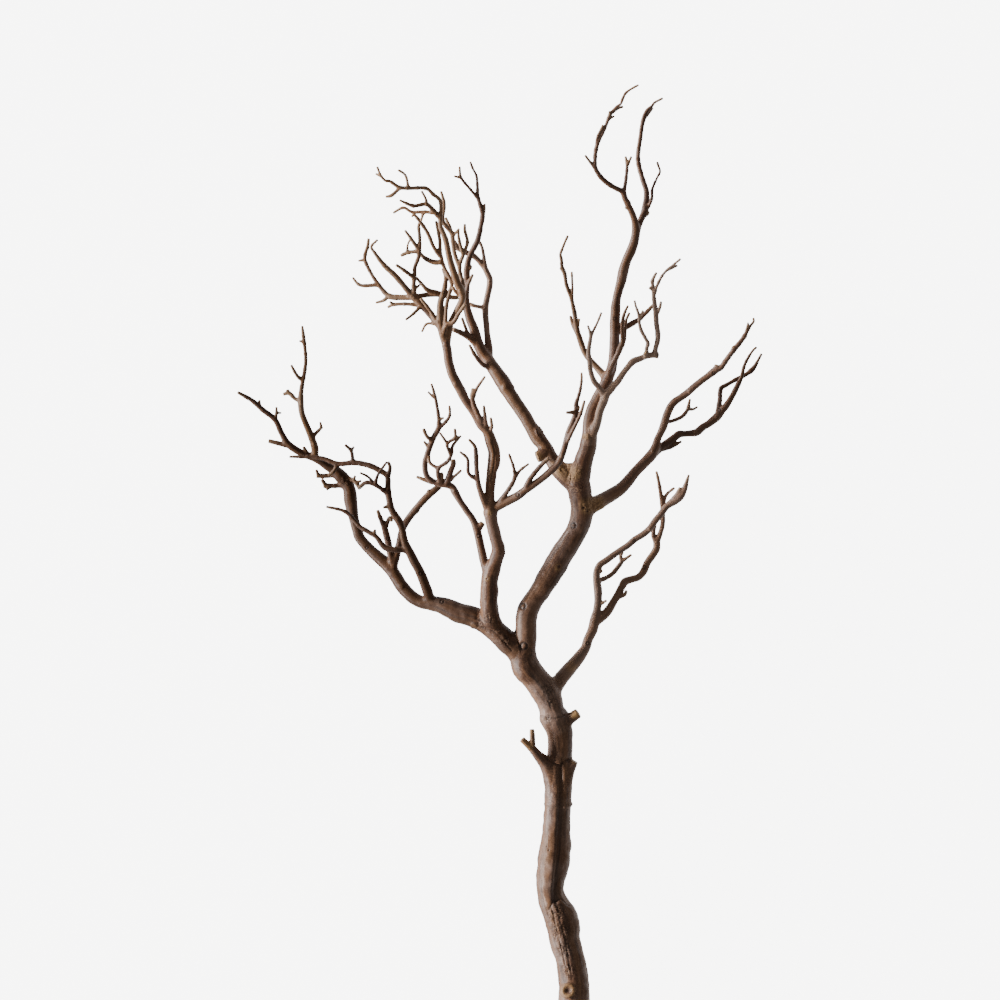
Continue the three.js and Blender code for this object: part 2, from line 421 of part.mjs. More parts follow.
const rightUpperLimb = {
  name: 'right_upper_limb',
  colour: bark.warm,
  roughness: 0.64,
  meets: ['leader'],
  runs: [
    [[583, 508.5, 13, 84], [592, 504, 14, 81], [600, 500.6, 13.6, 78], [620, 489.7, 11.8, 70], [627, 483, 11, 67],
      [637, 470.5, 9.8, 62], [645.5, 461, 10, 58], [652, 454, 10, 56], [656, 446, 8.4, 55], [658, 438, 6.6, 55],
      [662, 426, 7.4, 55], [666, 414, 7.4, 56], [669.5, 407, 7], [674, 402, 6.5, 57], [685, 394.5, 6, 58],
      [700, 382, 5.6, 60], [712, 373, 6.5, 61], [721, 367, 5.2, 63], [730, 354.5, 4.6, 65], [740, 342, 4.1, 68],
      [745, 335, 3.9], [747.5, 330, 3, 70], [754, 320.5, 1.8], [753.5, 317, 1.6, 74]],
    [[715.5, 370.5, 4.6, 61], [717, 364, 4, 63]],
    [[746, 333, 2.6, 69], [748.5, 322, 1.6, 75]],
    [[662.5, 422, 4, 55], [671, 420.5, 3.1, 50], [682, 416, 3.2, 47], [688.5, 407, 2.8, 46], [690.5, 398, 1.6, 47]],
    [[688.3, 408, 2.4, 46], [693, 408.5, 1.9], [698, 406, 1.6, 43]],
  ],
};

const rightOuterLimb = {
  name: 'right_outer_limb',
  colour: bark.deep,
  roughness: 0.64,
  meets: ['right_upper_limb'],
  runs: [
    [[650, 457, 7.4, 54], [663, 446, 7, 48], [675, 437, 7, 43], [679, 434, 7], [685, 433, 5.6, 39],
      [691, 432.5, 6], [697, 431.5, 7, 35], [709, 423.5, 6.5, 31], [714, 419, 7.4], [718, 415.5, 7.8, 28],
      [726, 406, 6.3, 26], [734, 393, 4.9, 24], [740, 381, 4, 23], [744, 368, 2.8, 23], [750.5, 354, 2],
      [757.5, 346, 1.6, 24]],
    [[717, 417, 5, 28], [719.5, 405, 4.5], [721, 392, 4], [722, 388, 4, 17], [738.5, 378, 3], [748, 373, 3.2],
      [752, 369.5, 3.8, 13], [755.5, 365, 2.8], [762.5, 352.5, 1.6, 14]],
    [[660, 448.5, 4.6, 49], [671, 446, 3.8, 45], [682, 440.5, 1.6, 43]],
  ],
};

const limbs = [
  stem, leader, rightLowerLimb, rightLowerFork, leftLimb, leftTipLimb, leftSideLimb, leftInnerLimb,
  middleLimb, middleSideLimb, middleArchLimb, crownLimb, crownLeftLimb, backLimb, backSideLimb,
  topLimb, topRightLimb, topLeftLimb, topFrontLimb, rightUpperLimb, rightOuterLimb,
];

// Fills in the heights that a run leaves out, by the distance walked along the board.
function withHeights(run) {
  const walked = [0];
  for (let i = 1; i < run.length; i += 1) {
    walked.push(walked[i - 1] + Math.hypot(run[i][0] - run[i - 1][0], run[i][1] - run[i - 1][1]));
  }
  const known = run.map((point, i) => (point.length > 3 ? i : -1)).filter((i) => i >= 0);
  return run.map((point, i) => {
    const after = known.find((k) => k >= i);
    const before = known.findLast((k) => k <= i);
    const share = after === before ? 0 : (walked[i] - walked[before]) / (walked[after] - walked[before]);
    return [point[0], point[1], point[2], THREE.MathUtils.lerp(run[before][3], run[after][3], share)];
  });
}

// Places rings along a run: thick stretches take long strides and twigs short ones.
function ringsAlong(curve, thicknessAt) {
  const length = curve.getLength();
  const places = [0];
  let at = 0;
  while (at < length) {
    at += Math.max(shortestRing, ringStride * thicknessAt(at / length));
    places.push(Math.min(at / length, 1));
  }
  const last = places.length - 1;
  if (last > 1 && (places[last] - places[last - 1]) * length < shortestRing / 2) {
    places.splice(last - 1, 1);
  }
  return places;
}

// One tapering limb: a capped cylinder whose rings are carried along the run's curve.
function limbGeometry(run, extra) {
  const points = withHeights(run);
  const curve = new THREE.CatmullRomCurve3(points.map(
    ([across, down, , height]) => new THREE.Vector3(across - boardMiddle.across, boardMiddle.down - down, height),
  ), false, 'centripetal');
  const thicknessAt = (u) => {
    const t = curve.getUtoTmapping(u) * (points.length - 1);
    const i = Math.min(Math.floor(t), points.length - 2);
    return Math.max(thinnestTwig, THREE.MathUtils.lerp(points[i][2], points[i + 1][2], t - i));
  };
  const thickest = Math.max(...points.map((point) => point[2]));
  const { sides } = facets.find(({ from }) => thickest >= from);
  const rings = ringsAlong(curve, thicknessAt);
  const geometry = new THREE.CylinderGeometry(1, 1, rings.length - 1, sides, rings.length - 1);
  const position = geometry.attributes.position;
  const vertex = new THREE.Vector3();
  const frames = turnedFrames(curve, rings);
  for (let i = 0; i < position.count; i += 1) {
    vertex.fromBufferAttribute(position, i);
    const ring = Math.round((rings.length - 1) / 2 + vertex.y);
    const { at, across, up, along } = frames[ring];
    const reach = thicknessAt(rings[ring]) / 2 + extra;
    const endGrow = ring === 0 ? -extra : (ring === rings.length - 1 ? extra : 0);
    const placed = at.clone().addScaledVector(across, vertex.x * reach)
      .addScaledVector(up, vertex.z * reach).addScaledVector(along, endGrow);
    position.setXYZ(i, placed.x, placed.y, placed.z);
  }
  return geometry;
}

// Ring frames that turn with the curve and don't twist about it.
function turnedFrames(curve, rings) {
  const frames = [];
  let up = new THREE.Vector3(0, 0, 1);
  for (const u of rings) {
    const along = curve.getTangentAt(u);
    const across = new THREE.Vector3().crossVectors(along, up).normalize();
    up = new THREE.Vector3().crossVectors(across, along).normalize();
    frames.push({ at: curve.getPointAt(u), across, up, along });
  }
  return frames;
}

function toSolid(geometry) {
  geometry.deleteAttribute('normal');
  geometry.deleteAttribute('uv');
  const merged = mergeVertices(geometry, 1e-4);
  return new wasm.Manifold(new wasm.Mesh({
    numProp: 3,
    vertProperties: new Float32Array(merged.attributes.position.array),
    triVerts: new Uint32Array(merged.index.array),
  }));
}

function toGeometry(solid) {
  const mesh = solid.getMesh();
  const geometry = new THREE.BufferGeometry();
  geometry.setAttribute('position', new THREE.BufferAttribute(new Float32Array(mesh.vertProperties), 3));
  geometry.setIndex(new THREE.BufferAttribute(new Uint32Array(mesh.triVerts), 1));
  geometry.computeVertexNormals();
  return geometry;
}

// The twigs of a limb are grown into it as one solid.
function grownTogether(runs, extra) {
  return runs.map((run) => toSolid(limbGeometry(run, extra))).reduce((whole, twig) => whole.add(twig));
}

// A limb is trimmed back from those it meets, which leaves the gap of the fork.
function trimmed(limb) {
  const neighbours = limbs.filter(({ name }) => limb.meets.includes(name));
  const cut = neighbours.reduce(
    (solid, neighbour) => solid.subtract(grownTogether(neighbour.runs, forkGap)),
    grownTogether(limb.runs, 0),
  );
  return cut.decompose().reduce((largest, piece) => (piece.volume() > largest.volume() ? piece : largest));
}

const branch = new THREE.Group();
for (const limb of limbs) {
  const { colour, roughness } = limb;
  const material = new THREE.MeshStandardMaterial({ color: colour, roughness, metalness: 0 });
  const mesh = new THREE.Mesh(toGeometry(trimmed(limb)), material);
  mesh.name = limb.name;
  branch.add(mesh);
}

export default branch;
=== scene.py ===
import bpy
import numpy as np
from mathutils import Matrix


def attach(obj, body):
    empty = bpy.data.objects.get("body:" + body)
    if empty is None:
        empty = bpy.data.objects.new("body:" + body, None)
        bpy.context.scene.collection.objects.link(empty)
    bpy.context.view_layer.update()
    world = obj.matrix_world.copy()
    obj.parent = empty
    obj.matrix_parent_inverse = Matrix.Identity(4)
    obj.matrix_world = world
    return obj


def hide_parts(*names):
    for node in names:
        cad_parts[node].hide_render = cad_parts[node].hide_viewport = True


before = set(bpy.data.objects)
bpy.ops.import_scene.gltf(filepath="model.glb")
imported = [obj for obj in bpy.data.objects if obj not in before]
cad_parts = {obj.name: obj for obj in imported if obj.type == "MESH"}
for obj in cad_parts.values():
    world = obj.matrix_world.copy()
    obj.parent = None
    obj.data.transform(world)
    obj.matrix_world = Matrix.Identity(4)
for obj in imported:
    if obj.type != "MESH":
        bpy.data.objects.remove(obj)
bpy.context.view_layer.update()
mm = 0.001

# One photo pixel is one millimetre. The frame's origin lies under this pixel.
board = {"middleAcross": 499.9, "middleDown": 548.2}

# Each run is a list of [across, down, thickness, height]. A height left out is filled in along the run.
# A mark is [across, down, size, kind], and a groove is [width, depth, line].
# The painted light and shade of each limb darkens or lightens its bark, standing in for how the light falls
# on that limb.

# The stem leans on its sawn end. Its stubs are snapped side shoots and one pruned knob.
stem = {
    "node": "stem", "slot": "old_bark", "paintedLightShade": 1.2,
    "runs": [
        [[574.5, 1012, 31, 15.5], [574.5, 1000, 31, 15.5], [574, 980, 30, 15.5], [570.5, 960, 29, 16],
         [565, 940, 30, 17.5], [562.3, 921, 33.4, 19], [557, 910, 30.6, 20], [552.7, 900, 27.4, 20.5],
         [550.4, 890, 26, 21], [550.7, 880, 28, 22], [552.7, 868, 30.8, 23.5], [555.5, 850, 30.8, 26],
         [556.4, 830, 27.3, 29], [558.1, 800, 26.2, 33], [559.1, 780, 26.6, 36], [559.5, 765, 27, 38],
         [559.7, 755, 24.6, 39], [560.3, 740, 24.3, 41], [559.5, 730, 26, 42], [556, 720, 28.5, 43],
         [552, 710, 24.5, 44], [549.6, 700, 26.2, 45], [544.4, 690, 27.6, 46.5], [535.5, 678, 26.4, 49],
         [525.2, 664.5, 28, 51.5], [524.6, 652, 22.5, 53.5], [525.5, 642, 19, 55.5], [526, 632, 12, 58]],
        [[558, 726, 14, 43], [567, 721, 10.6, 47], [573.5, 716, 10, 50], [578.6, 712.6, 9.4, 51]],
        [[556, 800, 20, 35], [553.2, 782, 17, 39], [546.9, 764.8, 14.2, 45], [538.2, 755, 9.2, 50],
         [531.6, 747.2, 7, 52]],
        [[533, 749.5, 6.2, 51.5], [526.4, 743, 5.6, 54], [521.9, 738.6, 5.4, 55]],
        [[532.4, 749, 5, 52], [532.6, 738, 5, 55], [532, 728.8, 4, 57]],
        [[562, 802, 19, 34], [563.6, 786, 16, 38], [568.8, 772, 11, 43], [574.6, 760.5, 7, 46]],
        [[570, 992, 13, 24], [568.2, 991, 12, 32]],
    ],
    "marks": [
        [568.2, 991, 8.2, "eye"], [524, 645.5, 6.2, "ring"], [576, 713.5, 7, "sawn"], [527, 743, 10, "tan"],
        [532, 731, 5, "tan"], [575, 760, 5, "tan"], [549, 850, 1.6, "pit"], [547, 846, 1.2, "pit"],
        [541, 718, 5, "knob"], [556, 913, 12, "rough"], [560, 931, 13, "rough"], [565, 951, 11, "rough"],
        [569, 971, 9.5, "rough"], [549, 689, 9, "rough"], [552, 702, 8, "rough"], [563, 762, 6, "rough"],
        [548, 717, 5, "rough"],
    ],
    "grooves": [
        [4.4, 2.9, [[560, 768], [561.5, 790], [561, 815], [560, 840], [558, 865], [556, 885], [556, 900]]],
        [1.3, 0.5, [[556, 902], [560, 918], [565, 938], [569, 960], [572, 980]]],
        [1.1, 0.45, [[551, 906], [556, 925], [561, 945], [566, 968]]],
        [1.1, 0.45, [[562, 905], [567, 922], [570, 942]]],
        [1.2, 0.6, [[549, 910], [553, 902], [561, 899], [569, 906]]],
        [1.5, 1.0, [[540, 715], [548, 718], [556, 718], [565, 715]]],
        [1.9, 1.5, [[546, 756], [553, 763], [561, 765], [571, 758]]],
    ]}

leader = {
    "node": "leader", "slot": "smooth_bark", "paintedLightShade": 1.05,
    "runs": [
        [[525, 660, 12, 52.5], [525.3, 650, 18.4, 54.2], [526.2, 640, 20.6, 56], [526.4, 620, 21, 61],
         [528, 610, 21, 63.5], [533.4, 600, 19.2, 66], [540.4, 590, 20, 68], [546.2, 580, 21.6, 70],
         [552.4, 570, 22.6, 72], [558.3, 560, 22.7, 74], [564.6, 550, 22.1, 76], [571, 540, 21, 78],
         [576.6, 530, 20.7, 80], [580.6, 520, 22, 82], [582, 510, 22, 84], [581, 500, 21.5, 86],
         [580, 490, 22.5, 88], [579.5, 480, 19, 89.5], [580, 471, 12, 91]],
    ],
    "marks": [
        [522.8, 605.5, 5, "ring"], [524, 645.5, 6.2, "ring"], [559.2, 566, 3.6, "pit"],
        [558, 566.8, 5, "tan"], [573.6, 524.6, 4.4, "ring"], [588, 505, 10.5, "worn"],
        [583.6, 507, 2.8, "pit"], [587.5, 510.5, 2.2, "pit"], [577, 487, 9, "rough"],
        [572, 478, 8, "rough"],
    ]}

# The right lower limb forks close to the stem. Its fork dips to the floor and props the branch.
rightLowerLimb = {
    "node": "right_lower_limb", "slot": "smooth_bark", "paintedLightShade": 1.78,
    "runs": [
        [[552, 692, 14, 46], [560, 680, 14, 42], [570, 668, 13, 36], [580, 656, 11, 29], [586, 647, 9, 25],
         [588, 640, 9, 22.5], [593, 629, 9.6, 19.5], [595.4, 618, 9.2, 18], [597.2, 610, 7.4, 18],
         [598.4, 600, 7.2], [598.3, 590, 7.6], [597.1, 580, 7.3, 19], [597.2, 570, 6.2], [600.3, 564.2, 6],
         [606.3, 560, 6, 20], [620.3, 550, 5.6], [627.2, 545.6, 5.6, 21], [635, 539, 5.8], [643, 534, 5.8],
         [650, 528, 6, 21], [655, 521, 6], [660, 515, 6], [668, 505, 6, 21], [675.4, 500, 7.6, 22],
         [681, 495.4, 7.2], [685, 488, 5.4, 26], [687.4, 480.5, 3], [689.4, 474, 1.6, 30]],
        [[673, 500, 5, 22], [678, 493, 4], [681, 487, 3, 27]],
        [[597, 582, 4.5, 19], [600, 580, 4.2, 17], [607, 577, 4, 14], [613, 573, 4], [618, 567, 4, 11],
         [622, 561, 3.5], [621, 556, 3], [623, 551, 2.6, 11]],
        [[622, 561, 3, 11], [632, 554, 1.8, 13]],
        [[598, 605, 3.4, 18], [607, 600, 1.6, 22]],
        [[599, 567, 4, 19], [601.5, 572, 3.4, 21]],
    ],
    "marks": [
        [560, 681, 6, "rough"], [571, 666, 7, "tan"], [588, 643, 2.6, "ring"], [650, 529, 2.4, "knob"],
        [635, 540, 2.0, "ring"],
    ]}

rightLowerFork = {
    "node": "right_lower_fork", "slot": "smooth_bark", "paintedLightShade": 1.58,
    "runs": [
        [[594, 624, 8, 18.5], [598, 620, 8.6, 17.5], [606.2, 613, 8.6, 16], [614.5, 600.5, 7, 13.5],
         [618.7, 593.4, 6.8], [622.5, 586, 7, 10.5], [625.2, 581.4, 7.4, 9.5], [631.2, 579, 6.8, 8.5],
         [638.6, 576.8, 6.6, 7], [644, 571, 7, 6], [648, 562, 6.6, 5], [653, 555, 6.8, 4.2],
         [657, 548, 7, 3.5], [657.5, 541, 6.2, 3.4], [660, 535, 4.5, 4], [663, 525, 4.2, 5],
         [663.5, 515, 4, 6], [663, 505, 4, 8], [660.8, 490, 3.2, 14], [659, 480, 2.6],
         [656.8, 470.6, 1.8, 22]],
        [[657.5, 543, 5, 3.4], [654, 535, 4, 4], [655, 525, 3.4, 5.5], [657, 518, 2.4, 7]],
        [[663.3, 505, 3.4, 8], [667, 494, 2.5, 12], [675, 487, 1.6, 16]],
        [[616, 597, 5, 12.8], [625, 594, 3.4, 14], [627, 590, 2, 16]],
    ],
    "marks": [[624, 581, 3, "knob"], [645, 567, 2.6, "ring"]]}

# The left limb sweeps down to the floor at its knotty head, the branch's second prop.
leftLimb = {
    "node": "left_limb", "slot": "smooth_bark", "paintedLightShade": 0.56,
    "runs": [
        [[522, 657, 17, 53], [507, 641.4, 21.4, 55], [496.2, 630.6, 21, 54], [488.4, 625.4, 19.4, 53],
         [475, 617, 20, 50.5], [460, 612.6, 19.8, 47.5], [450, 608.2, 18.2], [440, 604.4, 15.8, 42.5],
         [430, 602.5, 14], [420.6, 601.3, 12.5, 36.5], [410.7, 595.3, 12.2], [401.8, 585.5, 12.3, 30],
         [394.8, 574.5, 11.8], [387.8, 565.5, 12.2, 24], [375.7, 554.5, 11.2], [367.5, 546.6, 10.2, 18],
         [359.5, 537, 10], [357, 530, 10, 13.5], [354, 520, 9], [352, 510, 11, 9], [350.4, 500, 12.8, 7],
         [349.4, 490, 12, 5.9], [346, 482, 12, 5.7], [341, 476, 13, 6.1], [335, 470, 10, 7.5],
         [328, 466, 8], [318, 459, 7.5, 9], [303, 453, 6.5, 10], [297, 450, 6.5], [291, 446, 6.5, 11],
         [286, 441, 6], [281, 432, 5, 12.5], [274.4, 418.5, 4.7, 14], [262.4, 409, 4.4, 16],
         [252, 399.8, 3.8, 18], [245, 395.6, 3.3], [237, 391.2, 2, 21]],
        [[275, 419, 3, 14], [276, 412, 2, 17], [276, 406, 1.6, 19]],
        [[276, 412, 1.8, 17], [281, 412, 1.3, 18]],
        [[259, 404, 2.6, 17], [259, 399, 1.4, 19]],
        [[289, 445, 4.5, 11], [280, 443, 3.8, 10], [268, 440, 3.5, 8]],
        [[308, 455, 3, 10], [305, 449, 2.6, 12], [303, 446, 2, 13]],
        [[338, 473, 5, 7], [327, 475, 4, 5], [316, 475, 4, 4]],
        [[318, 475, 3, 4.5], [316, 469, 2, 7]],
        [[346, 484, 5, 6], [335, 485, 4, 4.5], [323, 485, 4, 3.5]],
        [[330, 485.5, 3, 4], [326, 489, 2, 5]],
        [[325, 484, 3, 4], [321.5, 479, 2.6, 6]],
        [[345, 477, 4, 8], [354, 480, 3.5, 12], [359, 487, 3, 14]],
        [[353, 480, 2.6, 12], [355, 475, 1.6, 15]],
        [[356, 482, 2.6, 13], [361, 480, 1.6, 15]],
        [[472, 619, 9, 50], [475, 627, 6, 50]],
    ],
    "marks": [
        [442, 601, 3.0, "ring"], [494, 627, 9, "rough"], [483, 622, 8, "rough"], [505, 640, 8, "rough"],
        [474, 625, 4, "knob"], [401, 586, 3.5, "knob"], [367, 547, 2.4, "ring"], [345, 481, 7, "rough"],
        [268, 440, 2.2, "tan"], [316, 475, 2.4, "tan"], [323, 485, 2.4, "tan"], [359, 487, 2, "tan"],
    ],
    "grooves": [
        [1.4, 0.5, [[478, 626], [490, 628], [502, 638], [512, 650]]],
        [1.1, 0.4, [[476, 618], [488, 622], [498, 630]]],
    ]}

leftTipLimb = {
    "node": "left_tip_limb", "slot": "twig_bark", "paintedLightShade": 0.66,
    "runs": [
        [[313.6, 457, 6.2, 9.5], [314.7, 449, 6.7, 13], [311.4, 437, 6.2, 18], [306.4, 425, 5.7, 23],
         [301.6, 412, 5.2, 28], [300.5, 400, 5.5, 31], [301, 390, 4, 34], [304.5, 370, 3.2, 39],
         [305.5, 360, 3], [305, 350, 2.8, 43], [303, 333, 3, 46], [302, 325, 1.6, 48]],
        [[302, 379, 3, 37], [298, 376, 2.8], [294, 370, 2.5, 40], [291, 364, 1.8, 42]],
        [[300.5, 400, 3.4, 31], [295, 398, 3], [290, 393, 3.6, 28], [286, 391, 3.4, 27]],
        [[288, 392, 3, 27.5], [287, 388.6, 2.4, 28]],
        [[288, 392, 3.2, 27.5], [282.8, 393.4, 2.4, 26]],
        [[312, 436, 3, 18], [317, 431, 2.6], [322, 426, 2.2, 23]],
        [[321, 427, 2, 22.5], [320, 421, 1.4, 25]],
        [[304, 341, 2.2, 44.5], [299, 340, 1.3, 45]],
    ],
    "marks": [[314, 443, 2.6, "knob"], [301, 402, 2.4, "knob"]]}

leftSideLimb = {
    "node": "left_side_limb", "slot": "smooth_bark", "paintedLightShade": 0.76,
    "runs": [
        [[391, 574, 8, 27], [396, 555, 7.6, 29], [399, 543, 5.8, 33], [402, 530, 6, 37],
         [407, 520, 6.5, 40], [417, 507, 6.5, 44], [428, 495, 6.5, 48], [440, 485, 5.6, 52]],
        [[427, 496, 4, 48], [429, 489, 2, 51]],
        [[415, 509, 4.5, 43], [418, 512, 3.6, 44]],
        [[392.5, 566, 6, 28], [388.8, 545, 6.2, 32], [386.5, 535, 6.4, 36], [384.4, 527, 5.6, 40],
         [382.4, 522, 4.6], [379.4, 515, 3.6, 45], [377.6, 509.5, 2.6, 47]],
        [[385, 528, 4, 40], [390, 517, 3, 45], [392, 521, 2.4, 46]],
    ],
    "marks": [[402, 530, 2.4, "knob"], [388, 538, 2.4, "ring"]]}

# The left inner limb turns back over the left limb in one long crossing twig.
leftInnerLimb = {
    "node": "left_inner_limb", "slot": "smooth_bark", "paintedLightShade": 0.5,
    "runs": [
        [[430, 600, 9, 42], [427.2, 590, 9.6, 46], [420.3, 572, 8.6, 52], [411.3, 555, 8.4, 56],
         [404.5, 540, 6.8, 60], [402.5, 530, 6.3], [399.2, 521, 6.9, 63], [395.2, 515, 7],
         [391.3, 508, 6.2, 64], [388.1, 490, 5.6, 64], [387, 475, 4.8, 62], [380, 470, 5],
         [370, 465, 5, 59], [355, 462, 4.5, 55], [338, 463, 4, 50], [322, 457.5, 3.5, 45],
         [300, 456, 2.5, 40], [289, 456, 1.6, 39]],
        [[391, 506, 4, 64], [387, 506, 3, 65], [383, 507, 1.6, 66]],
        [[338, 463, 3.4, 50], [333, 471, 3], [328, 475, 2.2, 46]],
        [[353, 462, 3, 54], [351, 450, 2.5, 58], [345, 444, 2.2, 61]],
        [[351, 450, 2.2, 58], [354, 446, 1.5, 60]],
        [[388, 477, 4, 62], [390, 466, 3, 66], [388, 461, 2.4, 68]],
        [[389, 494, 4, 64], [375, 484, 3.5, 66], [366, 482, 3.5, 64], [358, 488, 3, 60]],
        [[375, 484, 3, 66], [378, 474, 2.2, 70], [387, 461, 1.6, 74]],
        [[374, 483, 2.4, 66], [368, 476, 1.8], [360, 472, 1.6, 70]],
        [[407, 549, 5.5, 57], [395, 549, 5, 58], [385, 547, 5], [376, 536, 4, 54], [368, 531, 4],
         [360, 526, 3.5, 50], [345, 511, 3, 46], [326, 506, 1.6, 43]],
        [[374, 534, 3, 53], [375, 529, 1.8, 56]],
    ],
    "marks": [[398, 518, 3, "knob"], [421, 573, 3, "ring"], [389, 491, 2.4, "ring"]]}

middleLimb = {
    "node": "middle_limb", "slot": "smooth_bark", "paintedLightShade": 1.18,
    "runs": [
        [[496, 630, 16, 55], [491.5, 618, 17.2, 60], [488.8, 600, 17.7, 68], [489.5, 590, 17.5],
         [489.5, 580, 16.5, 77], [492, 570, 16], [495, 562, 13.5, 85], [498.5, 550, 13],
         [496.5, 540, 12, 94], [494, 530, 12], [491.5, 520, 12, 101], [490.5, 510, 13],
         [490, 500, 9.5, 108], [490, 490, 9], [491, 480, 9.5], [492, 470, 10, 117], [494, 462, 12],
         [494, 450, 11.5, 123], [491, 440, 11], [487, 430, 9.5, 129], [481, 424, 8.4], [476, 415, 8, 133],
         [471, 407, 8], [466, 400, 8, 137], [461.4, 391, 9], [456.6, 382, 9, 142], [452.2, 373, 8.5],
         [449.2, 362, 8.5, 147], [447.7, 352, 8.5], [446.5, 344, 7.5, 150.5], [446.5, 337, 4.5, 152]],
        [[487, 431, 4, 129], [485.5, 420, 3.5, 135], [484, 405, 1.6, 141]],
        [[485, 427, 5, 130], [479, 415, 4, 137], [472.5, 398, 4, 143], [473.5, 388, 3.4, 146]],
        [[473, 399, 3, 143], [476.4, 389, 2.5], [485.2, 376, 1.9, 152]],
        [[489, 434, 3, 128], [491.8, 426, 2.8, 135], [490.8, 417, 1.9, 139]],
        [[489, 513, 6.5, 104], [484, 500, 6, 111], [478.5, 484, 4.6, 118], [476.5, 465, 4, 124],
         [476.2, 455, 4], [475, 446, 3, 129], [469, 438.6, 1.9, 133]],
        [[477.5, 479, 3.4, 120], [469, 473, 2.8, 122], [467.5, 458, 2.4, 127], [460, 451, 1.6, 130]],
        [[501, 551, 7, 90], [505, 550, 5, 90]],
        [[487, 512, 6, 105], [485, 513, 5, 107]],
    ],
    "marks": [
        [487, 578, 3.6, "ochre"], [487, 578, 1.8, "pit"], [494, 456, 4, "knob"], [490, 512, 3.6, "worn"],
        [456, 384, 3, "knob"], [489, 604, 5, "knob"], [490, 618, 8, "rough"],
    ],
    "grooves": [
        [1.6, 0.8, [[492, 440], [495, 452], [494, 466], [491, 480]]],
        [1.5, 0.6, [[493, 575], [492, 590], [493, 606], [497, 622]]],
    ]}

middleSideLimb = {
    "node": "middle_side_limb", "slot": "smooth_bark", "paintedLightShade": 0.88,
    "runs": [
        [[490, 510, 8, 103], [500.6, 503.8, 8.8, 109], [508.8, 499.8, 8.4], [517.8, 495.2, 7.8, 117],
         [526.6, 488.6, 7.2], [535, 483, 6.5, 125], [543, 477, 6.5], [550, 471, 6.5, 131], [557, 464, 6],
         [561, 457, 6, 136], [564, 449, 5.6], [566.4, 440, 5.5, 140], [569.3, 430, 5.5],
         [573.3, 420, 5, 145], [576.2, 411, 4.5], [576.2, 403, 4, 149], [577.8, 398, 3], [580, 390, 2.4],
         [581.5, 380, 2], [581.5, 372, 1.6, 157]],
        [[577, 411, 3, 147], [579, 406, 2, 150]],
        [[566, 444, 3.6, 139], [570.8, 434, 2.8, 146], [580.8, 412.6, 2.7, 152], [584.5, 400, 1.7, 157]],
        [[577, 411, 3, 147], [570, 412, 2.5, 150], [566, 412, 2, 151]],
        [[525, 489, 5, 121], [529.4, 479.4, 4.6, 128], [542.4, 463.4, 3.6, 134], [549, 457, 2.8, 137]],
        [[497, 504, 5, 107], [505, 494, 4, 116], [514.5, 478, 3.5, 123], [514, 468, 2.4],
         [509, 453, 1.6, 131]],
        [[514, 479, 3, 123], [520, 470, 2.3], [529, 463, 1.6, 129]],
    ],
    "marks": [[518, 494, 3, "ring"], [562, 455, 2.4, "knob"]]}

middleArchLimb = {
    "node": "middle_arch_limb", "slot": "smooth_bark", "paintedLightShade": 0.88,
    "runs": [
        [[489, 576, 9, 79], [484, 560, 8, 81], [481, 547, 7.5], [478, 533, 7.5, 79], [473, 519, 6.2],
         [466, 509, 6, 76], [460, 500, 6], [455, 491, 7, 74], [452, 486, 6.2], [446, 484, 6, 74],
         [440, 483, 5.6], [434, 481, 5, 75], [429, 478, 5], [426, 473, 5, 77], [425, 466, 5],
         [425.5, 460, 5, 80], [428, 452, 5], [431, 443, 5, 84], [434, 436, 5], [438, 429, 4.5, 88],
         [439, 423, 3.6], [438.5, 415, 3, 92], [437, 405, 2.6], [435, 395, 2.4, 97],
         [431.5, 383, 1.6, 100]],
        [[478, 529, 6, 78], [483, 522, 5, 80]],
        [[438, 429, 3, 88], [449, 417, 2.5, 94], [450, 412, 2], [449.5, 405, 1.6, 99]],
        [[439, 419, 2.6, 91], [444, 417, 1.5, 93]],
        [[434, 397, 2, 96.5], [431, 394, 1.7], [428, 391, 1.4, 97]],
        [[432, 440, 3, 86], [427, 435.5, 3], [423.5, 428, 2.3, 91]],
        [[428, 446, 2.6, 83], [424, 440.5, 1.5, 85]],
        [[440, 483, 4, 74], [430, 481, 3.8, 71], [416.5, 476, 2, 68]],
        [[440, 483, 4, 75], [438.5, 468, 3.4, 85], [448, 460.5, 3, 89], [452, 452, 2.6, 92],
         [452.5, 446, 2.5], [461, 435, 1.6, 99]],
        [[451, 455, 2.8, 91], [447.5, 443, 2.5, 97], [455, 437, 2.6, 100], [455, 428, 1.9, 104]],
        [[455, 437, 2.2, 100], [459, 436, 1.6, 101]],
        [[447.5, 443, 2.2, 97], [440, 432, 1.6, 101]],
        [[438.5, 468, 2.8, 85], [430, 462, 2.5, 83], [429, 455, 2, 83]],
        [[446, 484, 5, 75], [451, 470, 5], [453.5, 463, 4.5, 83], [453, 458.5, 4, 84]],
        [[447, 484, 3.4, 75], [452, 478, 2.5, 78], [461.5, 469.5, 2, 83]],
        [[441, 482, 3.4, 76], [442, 474, 3, 80], [441, 472, 2.6, 81]],
    ],
    "marks": [[483, 521, 3, "sawn"], [453, 458, 2.4, "sawn"], [455, 490, 3, "knob"], [479, 535, 3, "ring"]]}

